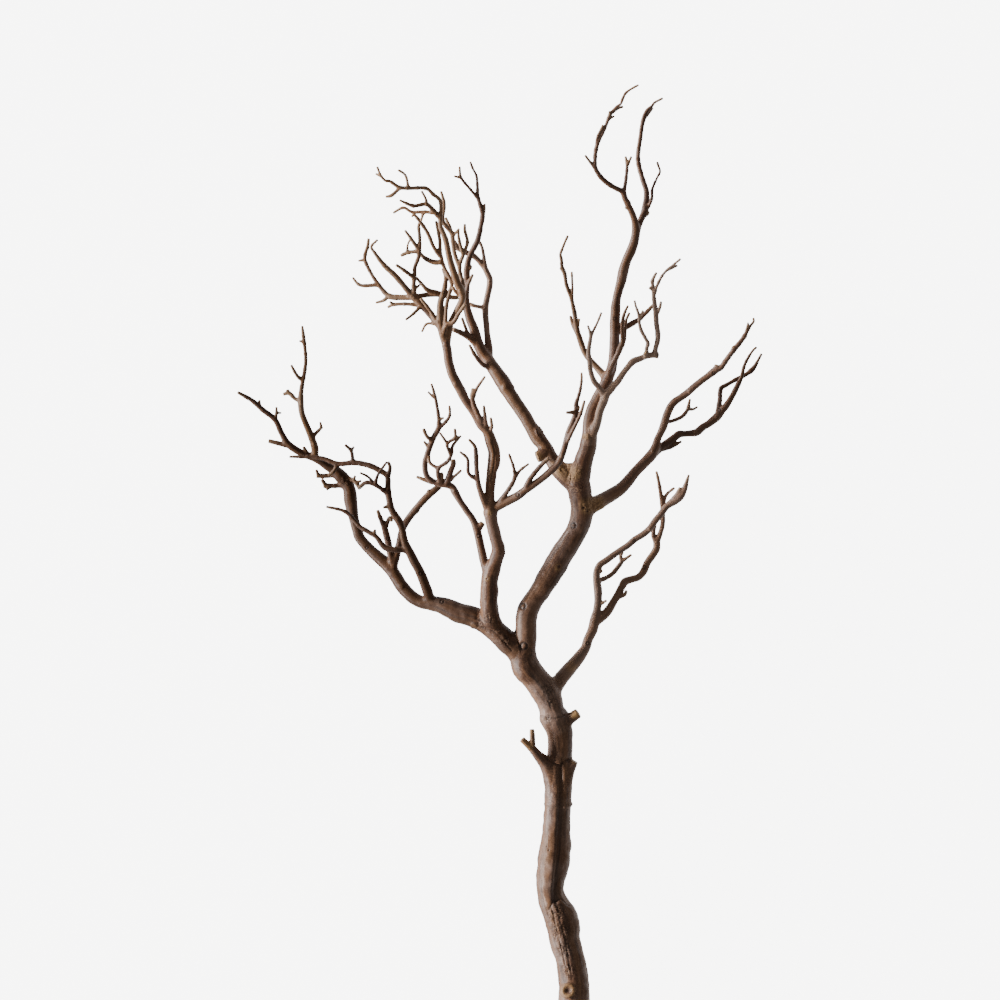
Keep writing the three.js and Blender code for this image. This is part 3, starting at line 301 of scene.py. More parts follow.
# The crown is the dense head of the middle limb, in a right and a left half.
crownLimb = {
    "node": "crown_limb", "slot": "twig_bark", "paintedLightShade": 1.2,
    "runs": [
        [[446, 345, 8, 150], [449, 331, 6.4, 150.5], [451.2, 322, 5.6, 150.5], [456.6, 311.5, 6, 153.5],
         [462.6, 297, 6, 160], [461, 290, 7], [457.6, 283, 7, 164], [452, 266, 6], [449.6, 257, 5.6, 169],
         [446, 240, 5], [443, 232, 4.5, 174], [440.6, 226, 4], [440.7, 218, 3.3], [441.2, 208, 3, 179],
         [440, 200, 2.9], [433.6, 194.6, 3], [427, 188.8, 3, 183], [409, 188.5, 3, 185],
         [399.6, 187.5, 3.2], [390, 181.5, 2.3], [386, 181, 2, 188], [381.4, 176, 1.8],
         [377.6, 167, 1.6, 190]],
        [[382, 177, 1.8, 188.5], [376, 174, 1.4, 188]],
        [[401, 187.5, 2.4, 185], [391.4, 196, 2.7], [386, 197, 1.6, 184]],
        [[409, 189, 2.4, 185], [405.6, 175.4, 1.8], [398.6, 170.3, 1.6, 192]],
        [[441, 219, 4, 176], [434, 211, 4], [427, 204.5, 3.3, 182], [414, 206, 2.8, 184],
         [400, 200.4, 1.6, 188]],
        [[427.5, 205.5, 2.4, 182], [426, 199, 2], [422, 191.4, 1.6, 189]],
        [[436, 213, 3.4, 179], [424, 212, 2.5, 176], [412, 212, 2.3, 174], [404, 207.8, 2.2],
         [393.5, 213, 1.6, 171]],
        [[424, 211.5, 2.2, 176], [421.3, 221, 1.8, 174]],
        [[416, 212, 2, 174.5], [412, 217, 1.4, 173]],
        [[463, 295, 4.4, 161], [463, 284, 3.5, 158], [459.6, 267, 3.2, 158], [463.7, 254, 2.8, 160],
         [467.6, 242, 2.8], [465, 230, 2.4], [465, 224, 1.8, 168]],
        [[460, 268, 3.2, 158], [455, 254, 3.4, 158], [453, 240, 3.8, 160], [452.3, 233.5, 3.6],
         [449, 229.5, 3.5, 163], [443, 221, 3.4], [443, 215, 3.2, 166], [444.2, 209, 3, 170],
         [444.3, 203, 2.9], [441.3, 191.4, 2, 176]],
        [[452.5, 236, 3.2, 161], [450.4, 228, 2.9, 158], [445.7, 217.5, 2.2, 155]],
        [[453, 236, 2.4, 161], [459.5, 228.7, 1.6, 165]],
        [[463.2, 255, 2.8, 160], [459, 238, 2.4, 166], [458.5, 230, 1.8, 169]],
        [[443.5, 334, 4.4, 153], [447, 324.6, 3.8, 157.5], [453.6, 322, 3.6, 160], [459, 313.4, 3.2, 163],
         [465.6, 304, 2.6, 165]],
        [[453, 287, 2.6, 160], [456, 292, 2.2, 158], [459.5, 296, 1.6, 156]],
    ],
    "marks": [[461, 291, 3, "knob"], [414, 207, 1.8, "knob"], [427, 205, 2, "knob"]]}

crownLeftLimb = {
    "node": "crown_left_limb", "slot": "twig_bark", "paintedLightShade": 0.92,
    "runs": [
        [[446.2, 344, 7.2, 149], [442, 331, 6.8, 152], [440.4, 318, 6.2, 153], [440.8, 302, 5.8, 154],
         [444, 292, 5], [445.6, 283, 4, 155], [446, 277, 3.2], [443, 268, 2.4, 152]],
        [[442.3, 329, 6, 150], [437, 323, 5.2, 150], [425, 308.5, 5.5, 147], [413.5, 296.5, 7, 145],
         [408, 297, 5.2], [400, 297, 5, 141], [392, 296.5, 5], [387, 294, 4.2, 138], [377.4, 282.3, 3.3],
         [372, 274, 2.9, 134], [365.2, 259, 3], [366, 252, 2.8, 131], [367.8, 247, 2.8],
         [369, 238, 2.1, 129]],
        [[365, 259.5, 2.2, 132], [358.5, 260.5, 1.3, 131]],
        [[414, 298, 5.6, 145], [407, 289, 5, 148], [396, 276, 5, 151], [384, 264.5, 4, 153],
         [375, 252.5, 2.5], [371.7, 246.7, 2, 156], [378, 239.6, 1.6, 158]],
        [[414.5, 298, 5, 145], [414, 283, 3.5], [415, 275, 3.3, 154], [415, 268, 3.2], [419, 256, 3.5, 158],
         [420, 238, 2.8, 161], [419, 226, 2.4], [420, 222, 2, 164]],
        [[414.5, 289, 2.4, 148], [419.5, 285, 1.4, 150]],
        [[419, 250, 3, 159], [411, 238, 2.5, 162], [405.3, 230.3, 1.8, 165]],
        [[419, 251, 3.2, 159], [408, 252.5, 3, 156], [401, 255.5, 2.2, 154]],
        [[407.5, 252, 2, 156], [408, 245, 1.5], [410, 240, 1.2, 160]],
        [[415, 278, 3.4, 153], [405, 270.5, 3, 157], [396.2, 264.5, 2.2, 159]],
        [[445.6, 326, 3.6, 156], [446.2, 313, 3, 156], [447, 304, 3], [450.6, 290, 3, 156], [452, 285, 3],
         [451, 280, 3], [444, 266, 3, 156], [440.5, 252, 3], [440, 240, 3, 160], [436.3, 221, 2, 164]],
        [[442, 262, 4.4, 157], [434, 262, 4.5, 155], [424, 257, 3.5, 153], [420, 252.5, 2.6, 152]],
        [[440.3, 256, 3.6, 158], [434, 247, 3], [428, 233, 3, 163], [420, 221, 2.8, 168],
         [412.6, 212.4, 2.2, 169]],
        [[413, 297, 5, 145], [420, 295.5, 4, 145], [440, 294, 4.8, 146], [452, 297, 4],
         [459, 297, 3.4, 147]],
        [[440, 293.5, 4.6, 147], [427.5, 289.6, 3.8], [424, 286, 3, 151], [416.5, 277, 2, 149]],
        [[438, 323, 3.6, 151], [432, 312.5, 3], [421, 298, 2.4, 157]],
        [[422, 306, 4, 146], [412, 304, 3, 145], [393, 304.5, 2.6, 141], [388, 307, 1.8, 139]],
        [[395, 304.5, 2.2, 141], [390, 301.5, 1.7, 143]],
        [[422, 305, 3, 147], [413, 314, 2.2, 150], [406, 319.5, 1.6, 153]],
        [[438, 324, 2.6, 150], [427, 323.5, 1.8], [422, 331.5, 1.6, 143]],
        [[379, 284.5, 3.4, 136], [360, 284.5, 2.6], [352.8, 277, 1.6, 131]],
        [[389, 295.5, 3, 139], [384, 300, 2.5], [376, 302.4, 1.6, 136]],
    ],
    "marks": [[413, 297, 3.4, "knob"], [437, 322, 2.6, "knob"], [444, 292, 2.2, "ring"]]}

# The back limb leaves the upper fork to the left and runs low under the crown.
backLimb = {
    "node": "back_limb", "slot": "smooth_bark", "paintedLightShade": 0.95,
    "runs": [
        [[580, 489, 14, 86], [567.4, 477.4, 17.4, 86], [559.4, 469, 16.4, 85], [552, 458.4, 14.2],
         [545, 446, 13, 82], [538.2, 437.5, 13.8], [531, 425.6, 12.6, 78], [524.3, 414.4, 12.6],
         [516.7, 403.2, 12.5, 74], [510, 393, 13], [504.5, 383.6, 14.2, 70], [497.7, 373.5, 13.4],
         [491.7, 364.5, 12.4, 66], [486.4, 356.8, 11, 64], [481, 349, 10.5, 64], [477, 340, 10],
         [474, 328, 9], [470, 318, 8, 64], [467, 307, 7], [466, 298, 6.2, 65], [466.5, 288, 5.6],
         [467, 280, 5.6], [467, 270, 6, 68], [468.4, 260, 5.3], [470.4, 254, 5, 71], [474.6, 246, 5],
         [477.5, 240, 5, 75], [479.5, 233, 4.6], [481, 225, 4.2], [482.5, 217, 4.5, 80], [482.5, 212, 4],
         [480, 203, 3.6], [478, 196, 3.1, 85], [477.5, 185, 2.3], [476.5, 175, 1.9, 90], [473, 168, 1.7],
         [470.3, 161, 1.6, 94]],
        [[549, 451, 12, 83], [541.6, 454.6, 12, 85], [537.2, 456.2, 10.2, 86]],
        [[573, 478, 14, 87], [570.8, 462.5, 9, 88]],
        [[493, 368, 4.6, 67], [483.6, 364.4, 3.6, 72], [475.8, 355.4, 3.2, 76], [469.4, 344, 1.9, 81]],
        [[478.4, 198, 2.6, 85], [470, 188, 2.2], [461, 176.5, 2, 92], [459.7, 166, 1.6, 96]],
        [[461, 177, 1.8, 92], [454, 175.5, 1.4, 93]],
        [[482.5, 218, 2.4, 80], [484.5, 211, 1.8], [484.7, 203, 1.6, 84]],
        [[466.5, 292, 3.4, 66], [468.5, 283, 3, 71], [473, 273.5, 2, 74]],
        [[479, 346, 7, 64], [470, 337, 6, 68], [459, 331, 4.5, 75], [453, 328.5, 4, 79]],
        [[469, 336, 3, 69], [462, 317, 1.8, 76]],
        [[508, 389, 8, 71], [511.5, 383, 6, 71]],
        [[536, 433.4, 10, 80], [540.6, 431.2, 10.6, 83.5]],
        [[468, 266, 4, 69], [472, 267, 3.4, 70]],
    ],
    "marks": [
        [537, 456.2, 6.4, "sawn"], [556, 468, 9, "ochre"], [540.6, 431.2, 6, "rough"],
        [505, 386, 3.4, "knob"], [568, 474, 8, "rough"], [566, 470, 12, "worn"], [553, 459, 5, "rough"],
    ]}

backSideLimb = {
    "node": "back_side_limb", "slot": "smooth_bark", "paintedLightShade": 1.88,
    "runs": [
        [[488, 362, 8, 63], [489, 350, 7.5, 60], [487, 330, 5.5, 58], [485.5, 307, 6, 56], [487, 298, 5.5],
         [490, 279, 5.6, 55], [485.5, 268, 4.7], [484.5, 260, 3.1, 58], [482, 246, 2.2],
         [476.5, 235, 1.6, 64]],
        [[487, 270, 4.8, 55], [475, 256, 4.5, 59], [463, 250, 5, 62], [457, 246, 5, 63],
         [454, 240, 3.4, 65]],
        [[487, 307, 3.4, 56], [475, 305, 3, 57], [467, 302, 2.6, 56]],
    ],
    "marks": [[490, 281, 2.4, "knob"], [486, 307, 2.4, "knob"]]}

topLimb = {
    "node": "top_limb", "slot": "smooth_bark", "paintedLightShade": 1.16,
    "runs": [
        [[578.5, 484, 20, 90], [581, 472, 19, 92], [583.6, 460, 18, 94], [587, 450, 16.5, 97],
         [589, 440, 16, 99], [589.5, 432, 14, 100], [589, 422, 11.5, 100], [591.6, 410, 11, 101],
         [596.2, 400, 10.5, 102], [601.6, 390, 10.5], [607, 380, 10.5, 104], [611, 370, 9.6, 105],
         [613, 360, 9.2], [614, 350, 9], [614.5, 340, 9.5, 107], [615, 320, 9.6, 109], [615.7, 306, 9],
         [616.7, 298, 8, 111], [618.6, 290, 8.2], [621.3, 280, 9.2, 112], [623, 272, 10.2],
         [626.6, 260, 9, 113], [631.3, 250, 9.2], [634.5, 240, 8.2, 114], [636, 230, 7.8, 114],
         [634.6, 220, 6.1, 116], [631.8, 212, 6], [628.3, 205, 5.6, 119], [625, 198, 5.3],
         [622.4, 191.2, 5, 122], [617, 188.5, 4.2, 124], [609.8, 184.5, 4.3], [602.9, 179, 4.3, 127],
         [598, 173, 4], [595.5, 168, 3.6, 130], [595, 160, 3.3], [595.5, 152, 3.5], [597, 145, 3.5],
         [599.5, 139, 3, 138], [602.5, 133, 2.8], [605, 127.5, 2.7], [607.5, 121, 2.8, 143],
         [609.5, 115, 2.5], [613, 110.5, 2.2], [617, 106.5, 2], [620.5, 104, 2, 148], [622.5, 99, 2.2],
         [625, 94, 2], [627.5, 91.5, 1.8], [633, 88, 1.6], [638.5, 85, 1.6, 153]],
        [[609.3, 116, 1.8, 145], [609.5, 111, 1.3, 147]],
        [[608.5, 119, 1.8, 144], [614.5, 116, 1.3, 143]],
        [[629, 206, 3, 119], [625, 208, 2, 120]],
        [[596.8, 147, 2.6, 135], [597, 138, 1.9, 139], [603, 125, 1.6, 144]],
        [[610.5, 114, 2.2, 145], [618, 108.5, 1.8, 143], [623, 106.5, 2, 142]],
        [[595.5, 169, 2.4, 130], [585, 155, 1.6, 135]],
        [[623.5, 193, 3.8, 122], [625.5, 182, 3, 119], [627, 165, 2.4, 116], [625.5, 156, 1.8, 114]],
        [[627, 166, 2.2, 116], [631.5, 156, 1.6, 116]],
        [[608, 376, 6, 105], [611, 367, 5.6, 112], [617.5, 354, 4.6, 117], [620, 348, 5.2, 119],
         [622.5, 342, 4.8, 120], [622, 328, 2.8, 122], [622.5, 321, 3], [624, 314, 2.5, 125],
         [628, 305, 1.6, 128]],
        [[623, 343, 3.4, 120], [625, 336, 2.5], [625.5, 322, 2.2, 118], [629.5, 312, 1.6, 116]],
        [[615, 332, 5, 108], [622, 328.4, 5.4, 108], [635, 321.3, 4.9], [640, 318, 3.7, 109],
         [650, 308, 3.2, 111], [654, 303.5, 2.2, 112]],
    ],
    "marks": [
        [573, 473, 10.5, "worn"], [592, 430, 3.4, "worn"], [586, 436, 4.4, "worn"], [603, 396, 3, "ring"],
        [578, 470, 8, "rough"], [574, 463, 7, "rough"], [622, 272, 3.4, "knob"], [615, 318, 2.6, "ring"],
        [629.5, 202, 2.4, "knob"],
    ]}

topRightLimb = {
    "node": "top_right_limb", "slot": "smooth_bark", "paintedLightShade": 1.0,
    "runs": [
        [[636, 234, 6, 113], [640.7, 220, 5.6, 109], [644.3, 212, 6.8], [645.8, 205, 6.6, 105],
         [646.6, 198, 5.4], [646.3, 190, 5], [643.5, 181, 4.6, 99], [641, 173, 4.2], [639, 165, 4.1, 95],
         [638, 157, 4], [638.5, 150, 4, 92], [639.5, 143, 3.8], [640.7, 136, 3.6, 90], [641.6, 128, 3.5],
         [643, 121, 3.6, 89], [644.6, 115, 3.6], [647.8, 109.2, 3.2, 89], [651.5, 106, 2.2],
         [654.5, 102, 1.7], [659, 99.5, 1.6], [663, 97.5, 1.6, 91]],
        [[644.5, 118, 2.4, 89], [653, 107, 1.6, 85]],
        [[646.7, 209, 3, 105], [650.5, 202, 2.5], [652, 196, 2.4, 112], [652, 190, 2.2], [654, 184, 1.9],
         [657, 177.5, 1.7], [660, 171, 1.6, 118], [658.5, 166, 1.6], [657, 161.5, 1.6, 121]],
        [[646, 212, 5, 107], [648.7, 214, 4, 108]],
    ],
    "marks": [[645.5, 208, 2.6, "knob"], [638.5, 153, 2, "knob"]]}

topLeftLimb = {
    "node": "top_left_limb", "slot": "twig_bark", "paintedLightShade": 0.85,
    "runs": [
        [[609.5, 384.5, 8, 103], [604.4, 375.6, 7.4], [598.3, 368.3, 6.2, 98], [592, 361.5, 5.3],
         [588, 356.5, 5.4, 96], [584, 350, 5.5], [581.5, 343, 5.4, 96], [579.5, 337, 5],
         [577.5, 330, 4.4, 97], [576, 322, 4.1], [574.5, 312, 4, 99], [573, 305, 3.5], [571.5, 298, 3.3],
         [568.5, 290, 3.4, 102], [566, 282, 3.2], [565.4, 277, 3.3], [564.4, 272, 3.6, 105],
         [562, 266, 2.8], [561.5, 259, 2.5], [560.5, 254, 2.2, 108], [562.5, 248, 1.9], [565.5, 240.5, 1.8],
         [568, 235, 1.6, 112]],
        [[565, 273, 2.8, 105], [560.5, 267, 2.4, 106]],
        [[571.8, 300, 2.4, 101], [572.5, 292, 1.8], [571.8, 271, 1.6, 107]],
        [[577.2, 329, 2.4, 97], [579.5, 318, 1.6, 100]],
        [[577.5, 333, 3.6, 97], [572.5, 323, 3, 94], [570.5, 315, 1.9, 92]],
    ],
    "marks": [[583, 347, 2.4, "knob"], [575, 312, 2, "ring"]]}

# The front limb of the top rises off the top limb's face and forks over it.
topFrontLimb = {
    "node": "top_front_limb", "slot": "smooth_bark", "paintedLightShade": 2.36,
    "runs": [
        [[591, 438, 8, 102], [595, 428, 8.4, 106], [597.7, 420, 7.7], [600, 410, 7.4, 111],
         [604, 400, 8, 113], [606, 394, 7.6, 115], [610, 390, 6.6], [615, 384, 6.1], [619, 379, 6.1, 118],
         [623, 373, 5.6], [628, 366.5, 5.5, 119], [633, 361, 6.3], [640, 358, 5.3, 118], [647, 355.5, 5],
         [653, 354.4, 5.6, 117], [658.6, 355, 5.4, 116]],
        [[605.5, 397, 6, 114], [599, 387, 5], [594, 380.5, 5, 121], [591.5, 374, 4.5], [590, 367, 4.2],
         [589.5, 360, 4, 126], [588.7, 354, 4, 128], [589, 347, 3.5], [590, 341, 3.3, 131], [591, 336, 2.6],
         [593, 331, 1.9], [597, 323, 1.7], [601.5, 312, 1.6, 138]],
        [[590.4, 340, 2.4, 131], [590, 332, 2], [587.7, 325, 1.6, 136]],
        [[647, 357, 3.6, 118], [646.6, 348, 3.3, 121], [647.9, 343, 3.3], [645, 337, 2.9],
         [641.2, 330, 3, 126], [639.5, 324, 2.5, 127], [639, 318, 2.4], [638, 312, 2, 130],
         [635.5, 305, 1.6], [634.5, 300, 1.6, 133]],
        [[639.2, 319, 2, 128], [643, 310, 1.6, 131]],
        [[654.5, 356, 4.4, 117], [655.5, 348, 4.5, 119], [657.5, 340, 4.5], [657.7, 332, 4.8, 122],
         [656.5, 324, 4.5], [656, 317, 4.5], [655.5, 311, 4], [654.5, 303, 4, 126], [653.7, 296, 3.5, 127],
         [652.8, 286, 2.8], [652.2, 281, 2.9, 129], [654.2, 276, 2.3], [656.5, 272, 1.6, 131]],
        [[653, 289, 2.6, 128], [649, 287.2, 2.4, 129]],
        [[653.8, 296, 3, 127], [656, 288, 2.3, 129], [658.5, 282, 2.2], [662, 275.5, 2],
         [666.5, 270, 1.8, 133], [672, 265.5, 1.7], [680.5, 258.5, 1.6, 137]],
        [[666, 270.5, 1.8, 133], [677.5, 265, 1.6, 133]],
        [[655.8, 315, 3.4, 124], [659.5, 308, 2.3, 127], [661, 301, 1.9, 129]],
        [[645.5, 357, 4, 119], [645, 352.5, 3.4, 121]],
    ],
    "marks": [
        [645, 352, 2, "sawn"], [659, 354.5, 2.4, "ring"], [655, 313, 2.4, "knob"], [605, 397, 3, "knob"],
    ]}

rightUpperLimb = {
    "node": "right_upper_limb", "slot": "smooth_bark", "paintedLightShade": 1.38,
    "runs": [
        [[583, 508.5, 13, 84], [592, 504.8, 15.2, 81], [600, 500.6, 13.6, 78], [610, 495, 12.8],
         [619.8, 488.9, 11.8, 70], [626.7, 482.1, 11, 67], [636.8, 469.9, 9.8, 62], [645.5, 461, 10, 58],
         [652, 454, 10, 56], [656, 446, 8.4, 55], [658, 438, 6.6, 55], [661, 432, 6.6],
         [663.7, 426, 7.4, 55], [665.3, 420, 7.4], [667.2, 414.2, 7.4, 56], [670.2, 407, 7],
         [674.2, 401.6, 6.9, 57], [680, 397.4, 6.5], [685, 393.9, 6.5, 58], [690, 390, 6.6],
         [695, 385.5, 6.2], [700, 381.4, 6, 60], [706, 376.9, 6.1], [712, 372.4, 6.7, 61],
         [717, 368.5, 6.6], [721, 367, 5.2, 63], [725, 361.5, 4.8], [730, 354.5, 4.6, 65], [735, 348, 4.7],
         [740, 342, 4.1, 68], [745, 335, 3.9], [747.5, 330, 3, 70], [751, 324.5, 2.1], [754, 320.5, 1.8],
         [753.5, 317, 1.6, 74]],
        [[715.5, 370.5, 4.6, 61], [717, 364, 4, 63]],
        [[746, 333, 2.6, 69], [748.5, 322, 1.6, 75]],
        [[662.5, 422, 4, 55], [671, 420.5, 3.1, 50], [677, 418.5, 3.2], [682, 416, 3.2, 47],
         [686, 412, 3.2], [688.5, 407, 2.8, 46], [689.5, 402, 2.2], [690.5, 398, 1.6, 47]],
        [[688.3, 408, 2.4, 46], [693, 408.5, 1.9], [698, 406, 1.6, 43]],
        [[669, 408, 5, 57], [672, 411, 3.6, 58]],
        [[735, 349, 3.4, 66], [733, 345.5, 2, 68]],
    ],
    "marks": [
        [596, 503.5, 12, "worn"], [654, 450, 3.4, "knob"], [690, 391, 2.4, "knob"], [714, 372, 2.2, "ring"],
    ]}

rightOuterLimb = {
    "node": "right_outer_limb", "slot": "smooth_bark", "paintedLightShade": 0.87,
    "runs": [
        [[650, 457, 7.4, 54], [657, 450.5, 7.4], [663.2, 445.2, 7, 48], [669.4, 440.8, 7],
         [675.4, 436.4, 7, 43], [679.4, 433.4, 7], [685, 433, 5.6, 39], [691, 432.5, 6],
         [697, 431.5, 7, 35], [703, 426.5, 6.7], [709, 422.9, 6.7, 31], [714, 419, 7.4],
         [718, 415.5, 7.8, 28], [723, 409.5, 6.2], [726, 406, 6.3, 26], [730, 400, 5.5],
         [734, 393, 4.9, 24], [737, 387, 4.8], [740, 381, 4, 23], [742.5, 375, 3.2], [744, 368, 2.8, 23],
         [746.5, 361, 2.4], [750.5, 354, 2], [754, 349, 1.8], [757.5, 346, 1.6, 24]],
        [[717, 417, 5, 28], [718.5, 411, 4.6], [719.5, 405, 4.5], [720.5, 398, 4.2], [720.7, 392, 4.1],
         [721.8, 387.2, 4.2, 17], [727, 384, 3.5], [733, 380.6, 3.4], [738.5, 377.4, 3.3],
         [743, 375.4, 3.3], [748.2, 372.6, 3.8], [752.5, 369, 4.6, 13], [756, 364.6, 3.4],
         [759.3, 358.4, 2.1], [762.5, 352.5, 1.6, 14]],
        [[660, 448.5, 4.6, 49], [671, 446, 3.8, 45], [682, 440.5, 1.6, 43]],
    ],
    "marks": [[720, 409, 2.6, "ring"], [696, 433, 2.6, "knob"], [718, 416, 3, "knob"]]}

limbs = [stem, leader, rightLowerLimb, rightLowerFork, leftLimb, leftTipLimb, leftSideLimb, leftInnerLimb,
         middleLimb, middleSideLimb, middleArchLimb, crownLimb, crownLeftLimb, backLimb, backSideLimb,
         topLimb, topRightLimb, topLeftLimb, topFrontLimb, rightUpperLimb, rightOuterLimb]

skin = {                    # lengths in mm
    "voxel": 0.8, "leastMelt": 1.2,         # the thinnest a tube may be while the tubes melt together
    "sides": 10, "stride": 1.5,             # points round a tube, and the step along it
    "bark": 0.4, "leastRadius": 0.55,       # what the bark adds all round, and the finest tip
    "fillet": 0.5, "leastFillet": 0.8,      # crotch rounding, as a share of the thinner limb, and its least
    "fullTurn": 0.5, "apartBy": 1.5,        # turn that gives all of it, and fillets to where a fork ends
    "firstBud": (2, 6), "budSpacing": (5, 11), "lastBud": 3,
    "budSwell": 0.2, "budSpread": (0.4, 1.2), "budLength": 1.4,
    "budsBelow": 3.4,                       # stouter runs show no buds
    "capRounding": 0.35, "mostRounding": 1.2,
    "search": 2.5, "stretches": 10,         # how far off the skin a run is looked for, and how much at once
    "far": 1e6,                             # no run in reach
    "steps": 3, "mostStep": 1.2,            # how often the melted skin is drawn to the runs, and how far
    "grainShift": 173.0,                    # parts the patterns of one run from the next
    "paintedLightFade": 18.0,                       # the painted light and shade of neighbouring limbs fade into each other over this
    "tipFade": (1.0, 16.0),                 # twigs grow paler over their last stretch
    "tipRadius": 2.0, "tipHurry": 8.0,      # stouter ends do so less
    "ageRadius": (2.0, 13.0),               # ridges grow from twigs to the stem
    "seed": 11,
}
markShapes = {              # mm of rise and of pit, how pale the spot is, how much painted shade darkens its pit, and how rough
    "sawn": {"rise": 0.0, "pit": 0.0, "pale": 1.0, "pitShade": 0.0, "rough": 0.2},
    "eye": {"rise": 0.6, "pit": 2.2, "pale": 0.9, "pitShade": 1.4, "rough": 0.2},
    "tan": {"rise": 0.0, "pit": 0.0, "pale": 0.5, "pitShade": 0.0, "rough": 0.0},
    "ring": {"rise": 0.3, "pit": 0.8, "pale": 0.04, "pitShade": 0.85, "rough": 0.2,
             "hole": 0.55},         # the pit is a ring this far out, as a share of the mark's size
    "knob": {"rise": 0.75, "pit": 0.0, "pale": 0.06, "pitShade": 0.0, "rough": 0.2},
    "pit": {"rise": 0.25, "pit": 1.4, "pale": 0.0, "pitShade": 1.0, "rough": 0.2},
    "ochre": {"rise": 0.3, "pit": 0.0, "pale": 0.45, "pitShade": 0.0, "rough": 0.0},
    "worn": {"rise": 0.7, "pit": 0.0, "pale": 0.5, "pitShade": 0.0, "rough": 1.0},
    "rough": {"rise": 0.15, "pit": 0.0, "pale": 0.0, "pitShade": 0.0, "rough": 1.0},
}
markFade = {                # as shares of a mark's size or a groove's width
    "reach": 1.8, "dome": 0.8, "dent": 0.42, "ringThinner": 0.36,
    "grooveReach": 2.0, "grooveCut": 0.6,
    "grooveShade": 0.42,                                         # how much painted shade darkens a groove
    "markFaces": (-0.2, 0.2), "grooveFaces": (-0.1, 0.4),       # how far the skin has to face up
}
shaded = ("grain", "apart", "pale", "rough", "tip", "paintedLightShade", "creviceShade")       # what the materials read


def addNode(tree, kind, links=None, **settings):
    node = tree.nodes.new(kind)
    for name, value in settings.items():
        setattr(node, name, value)
    for socket, source in (links or {}).items():
        if isinstance(source, bpy.types.NodeSocket):
            tree.links.new(source, node.inputs[socket])
        else:
            node.inputs[socket].default_value = source
    return node


def linear(hexColour):
    parts = [int(hexColour[i:i + 2], 16) / 255 for i in (1, 3, 5)]
    return [c / 12.92 if c <= 0.04045 else ((c + 0.055) / 1.055) ** 2.4 for c in parts] + [1.0]


def put(name, data):
    thing = bpy.data.objects.new(name, data)
    bpy.context.scene.collection.objects.link(thing)
    return thing


def unit(vectors):
    return vectors / np.maximum(np.linalg.norm(vectors, axis=-1, keepdims=True), 1e-9)


def toFrame(path):
    path = np.array(path, float)
    return np.column_stack([path[:, 0] - board["middleAcross"], board["middleDown"] - path[:, 1]])


def placed(run):
    flat = np.array([point[:2] for point in run], float)
    steps = np.linalg.norm(np.diff(flat, axis=0), axis=1)
    walked = np.concatenate([[0], np.cumsum(steps)])
    known = [i for i, point in enumerate(run) if len(point) > 3]
    height = np.interp(walked, walked[known], [run[i][3] for i in known])
    radius = [point[2] / 2 for point in run]
    return np.column_stack([toFrame(flat), height, radius])


def smoothed(knots, stride):
    # Centripetal Catmull-Rom through the measured points, carrying the radius along.
    knots = np.vstack([2 * knots[0] - knots[1], knots, 2 * knots[-1] - knots[-2]])
    path = [knots[1:2]]
    for a, b, c, d in zip(knots, knots[1:], knots[2:], knots[3:]):
        span = [max(np.linalg.norm(q[:3] - p[:3]), 1e-6) ** 0.5 for p, q in ((a, b), (b, c), (c, d))]
        t0, t1, t2, t3 = np.concatenate([[0], np.cumsum(span)])
        count = max(1, round(span[1] ** 2 / stride))
        t = np.linspace(t1, t2, count + 1)[1:, None]
        ab = ((t1 - t) * a + (t - t0) * b) / (t1 - t0)
        bc = ((t2 - t) * b + (t - t1) * c) / (t2 - t1)
        cd = ((t3 - t) * c + (t - t2) * d) / (t3 - t2)
        abc = ((t2 - t) * ab + (t - t0) * bc) / (t2 - t0)
        bcd = ((t3 - t) * bc + (t - t1) * cd) / (t3 - t1)
        path.append(((t2 - t) * abc + (t - t1) * bcd) / (t2 - t1))
    return np.vstack(path)


def turnedAlong(points):
    # Cross-section axes that follow the run without twisting.
    ahead = unit(np.gradient(points, axis=0))
    aslant = (0.3, 0.2, 1.0)        # any direction off the run will do
    side = unit(np.cross(ahead[0], aslant))
    across = []
    for direction in ahead:
        side = unit(side - direction * side.dot(direction))
        across.append(side)
    across = np.array(across)
    return across, np.cross(ahead, across)


def grownRuns():
    dice = np.random.default_rng(skin["seed"])
    runs = []
    for index, limb in enumerate(limbs):
        for run in limb["runs"]:
            path = smoothed(placed(run), skin["stride"])
            points, radii = path[:, :3], path[:, 3] + skin["bark"]
            walked = np.concatenate([[0], np.cumsum(np.linalg.norm(np.diff(points, axis=0), axis=1))])
            bud = dice.uniform(*skin["firstBud"])
            while bud < walked[-1] - skin["lastBud"]:       # swellings where buds sat on the twigs
                swell = skin["budSwell"] * dice.uniform(*skin["budSpread"])
                thin = np.clip((skin["budsBelow"] - radii) / skin["budsBelow"] * 2, 0, 1)
                radii = radii * (1 + thin * swell * np.exp(-((walked - bud) / skin["budLength"]) ** 2))
                bud += dice.uniform(*skin["budSpacing"])
            across, over = turnedAlong(points)
            runs.append({
                "limb": index, "points": points, "radii": np.maximum(radii, skin["leastRadius"]),
                "walked": walked, "across": across, "over": over, "shift": skin["grainShift"] * len(runs)})
    return runs


def endTree(tree, made, material):
    real = addNode(tree, "GeometryNodeRealizeInstances", {"Geometry": made})
    dressed = addNode(tree, "GeometryNodeSetMaterial", {
        "Geometry": real.outputs["Geometry"], "Material": material})
    addNode(tree, "NodeGroupOutput", {"Geometry": dressed.outputs["Geometry"]})


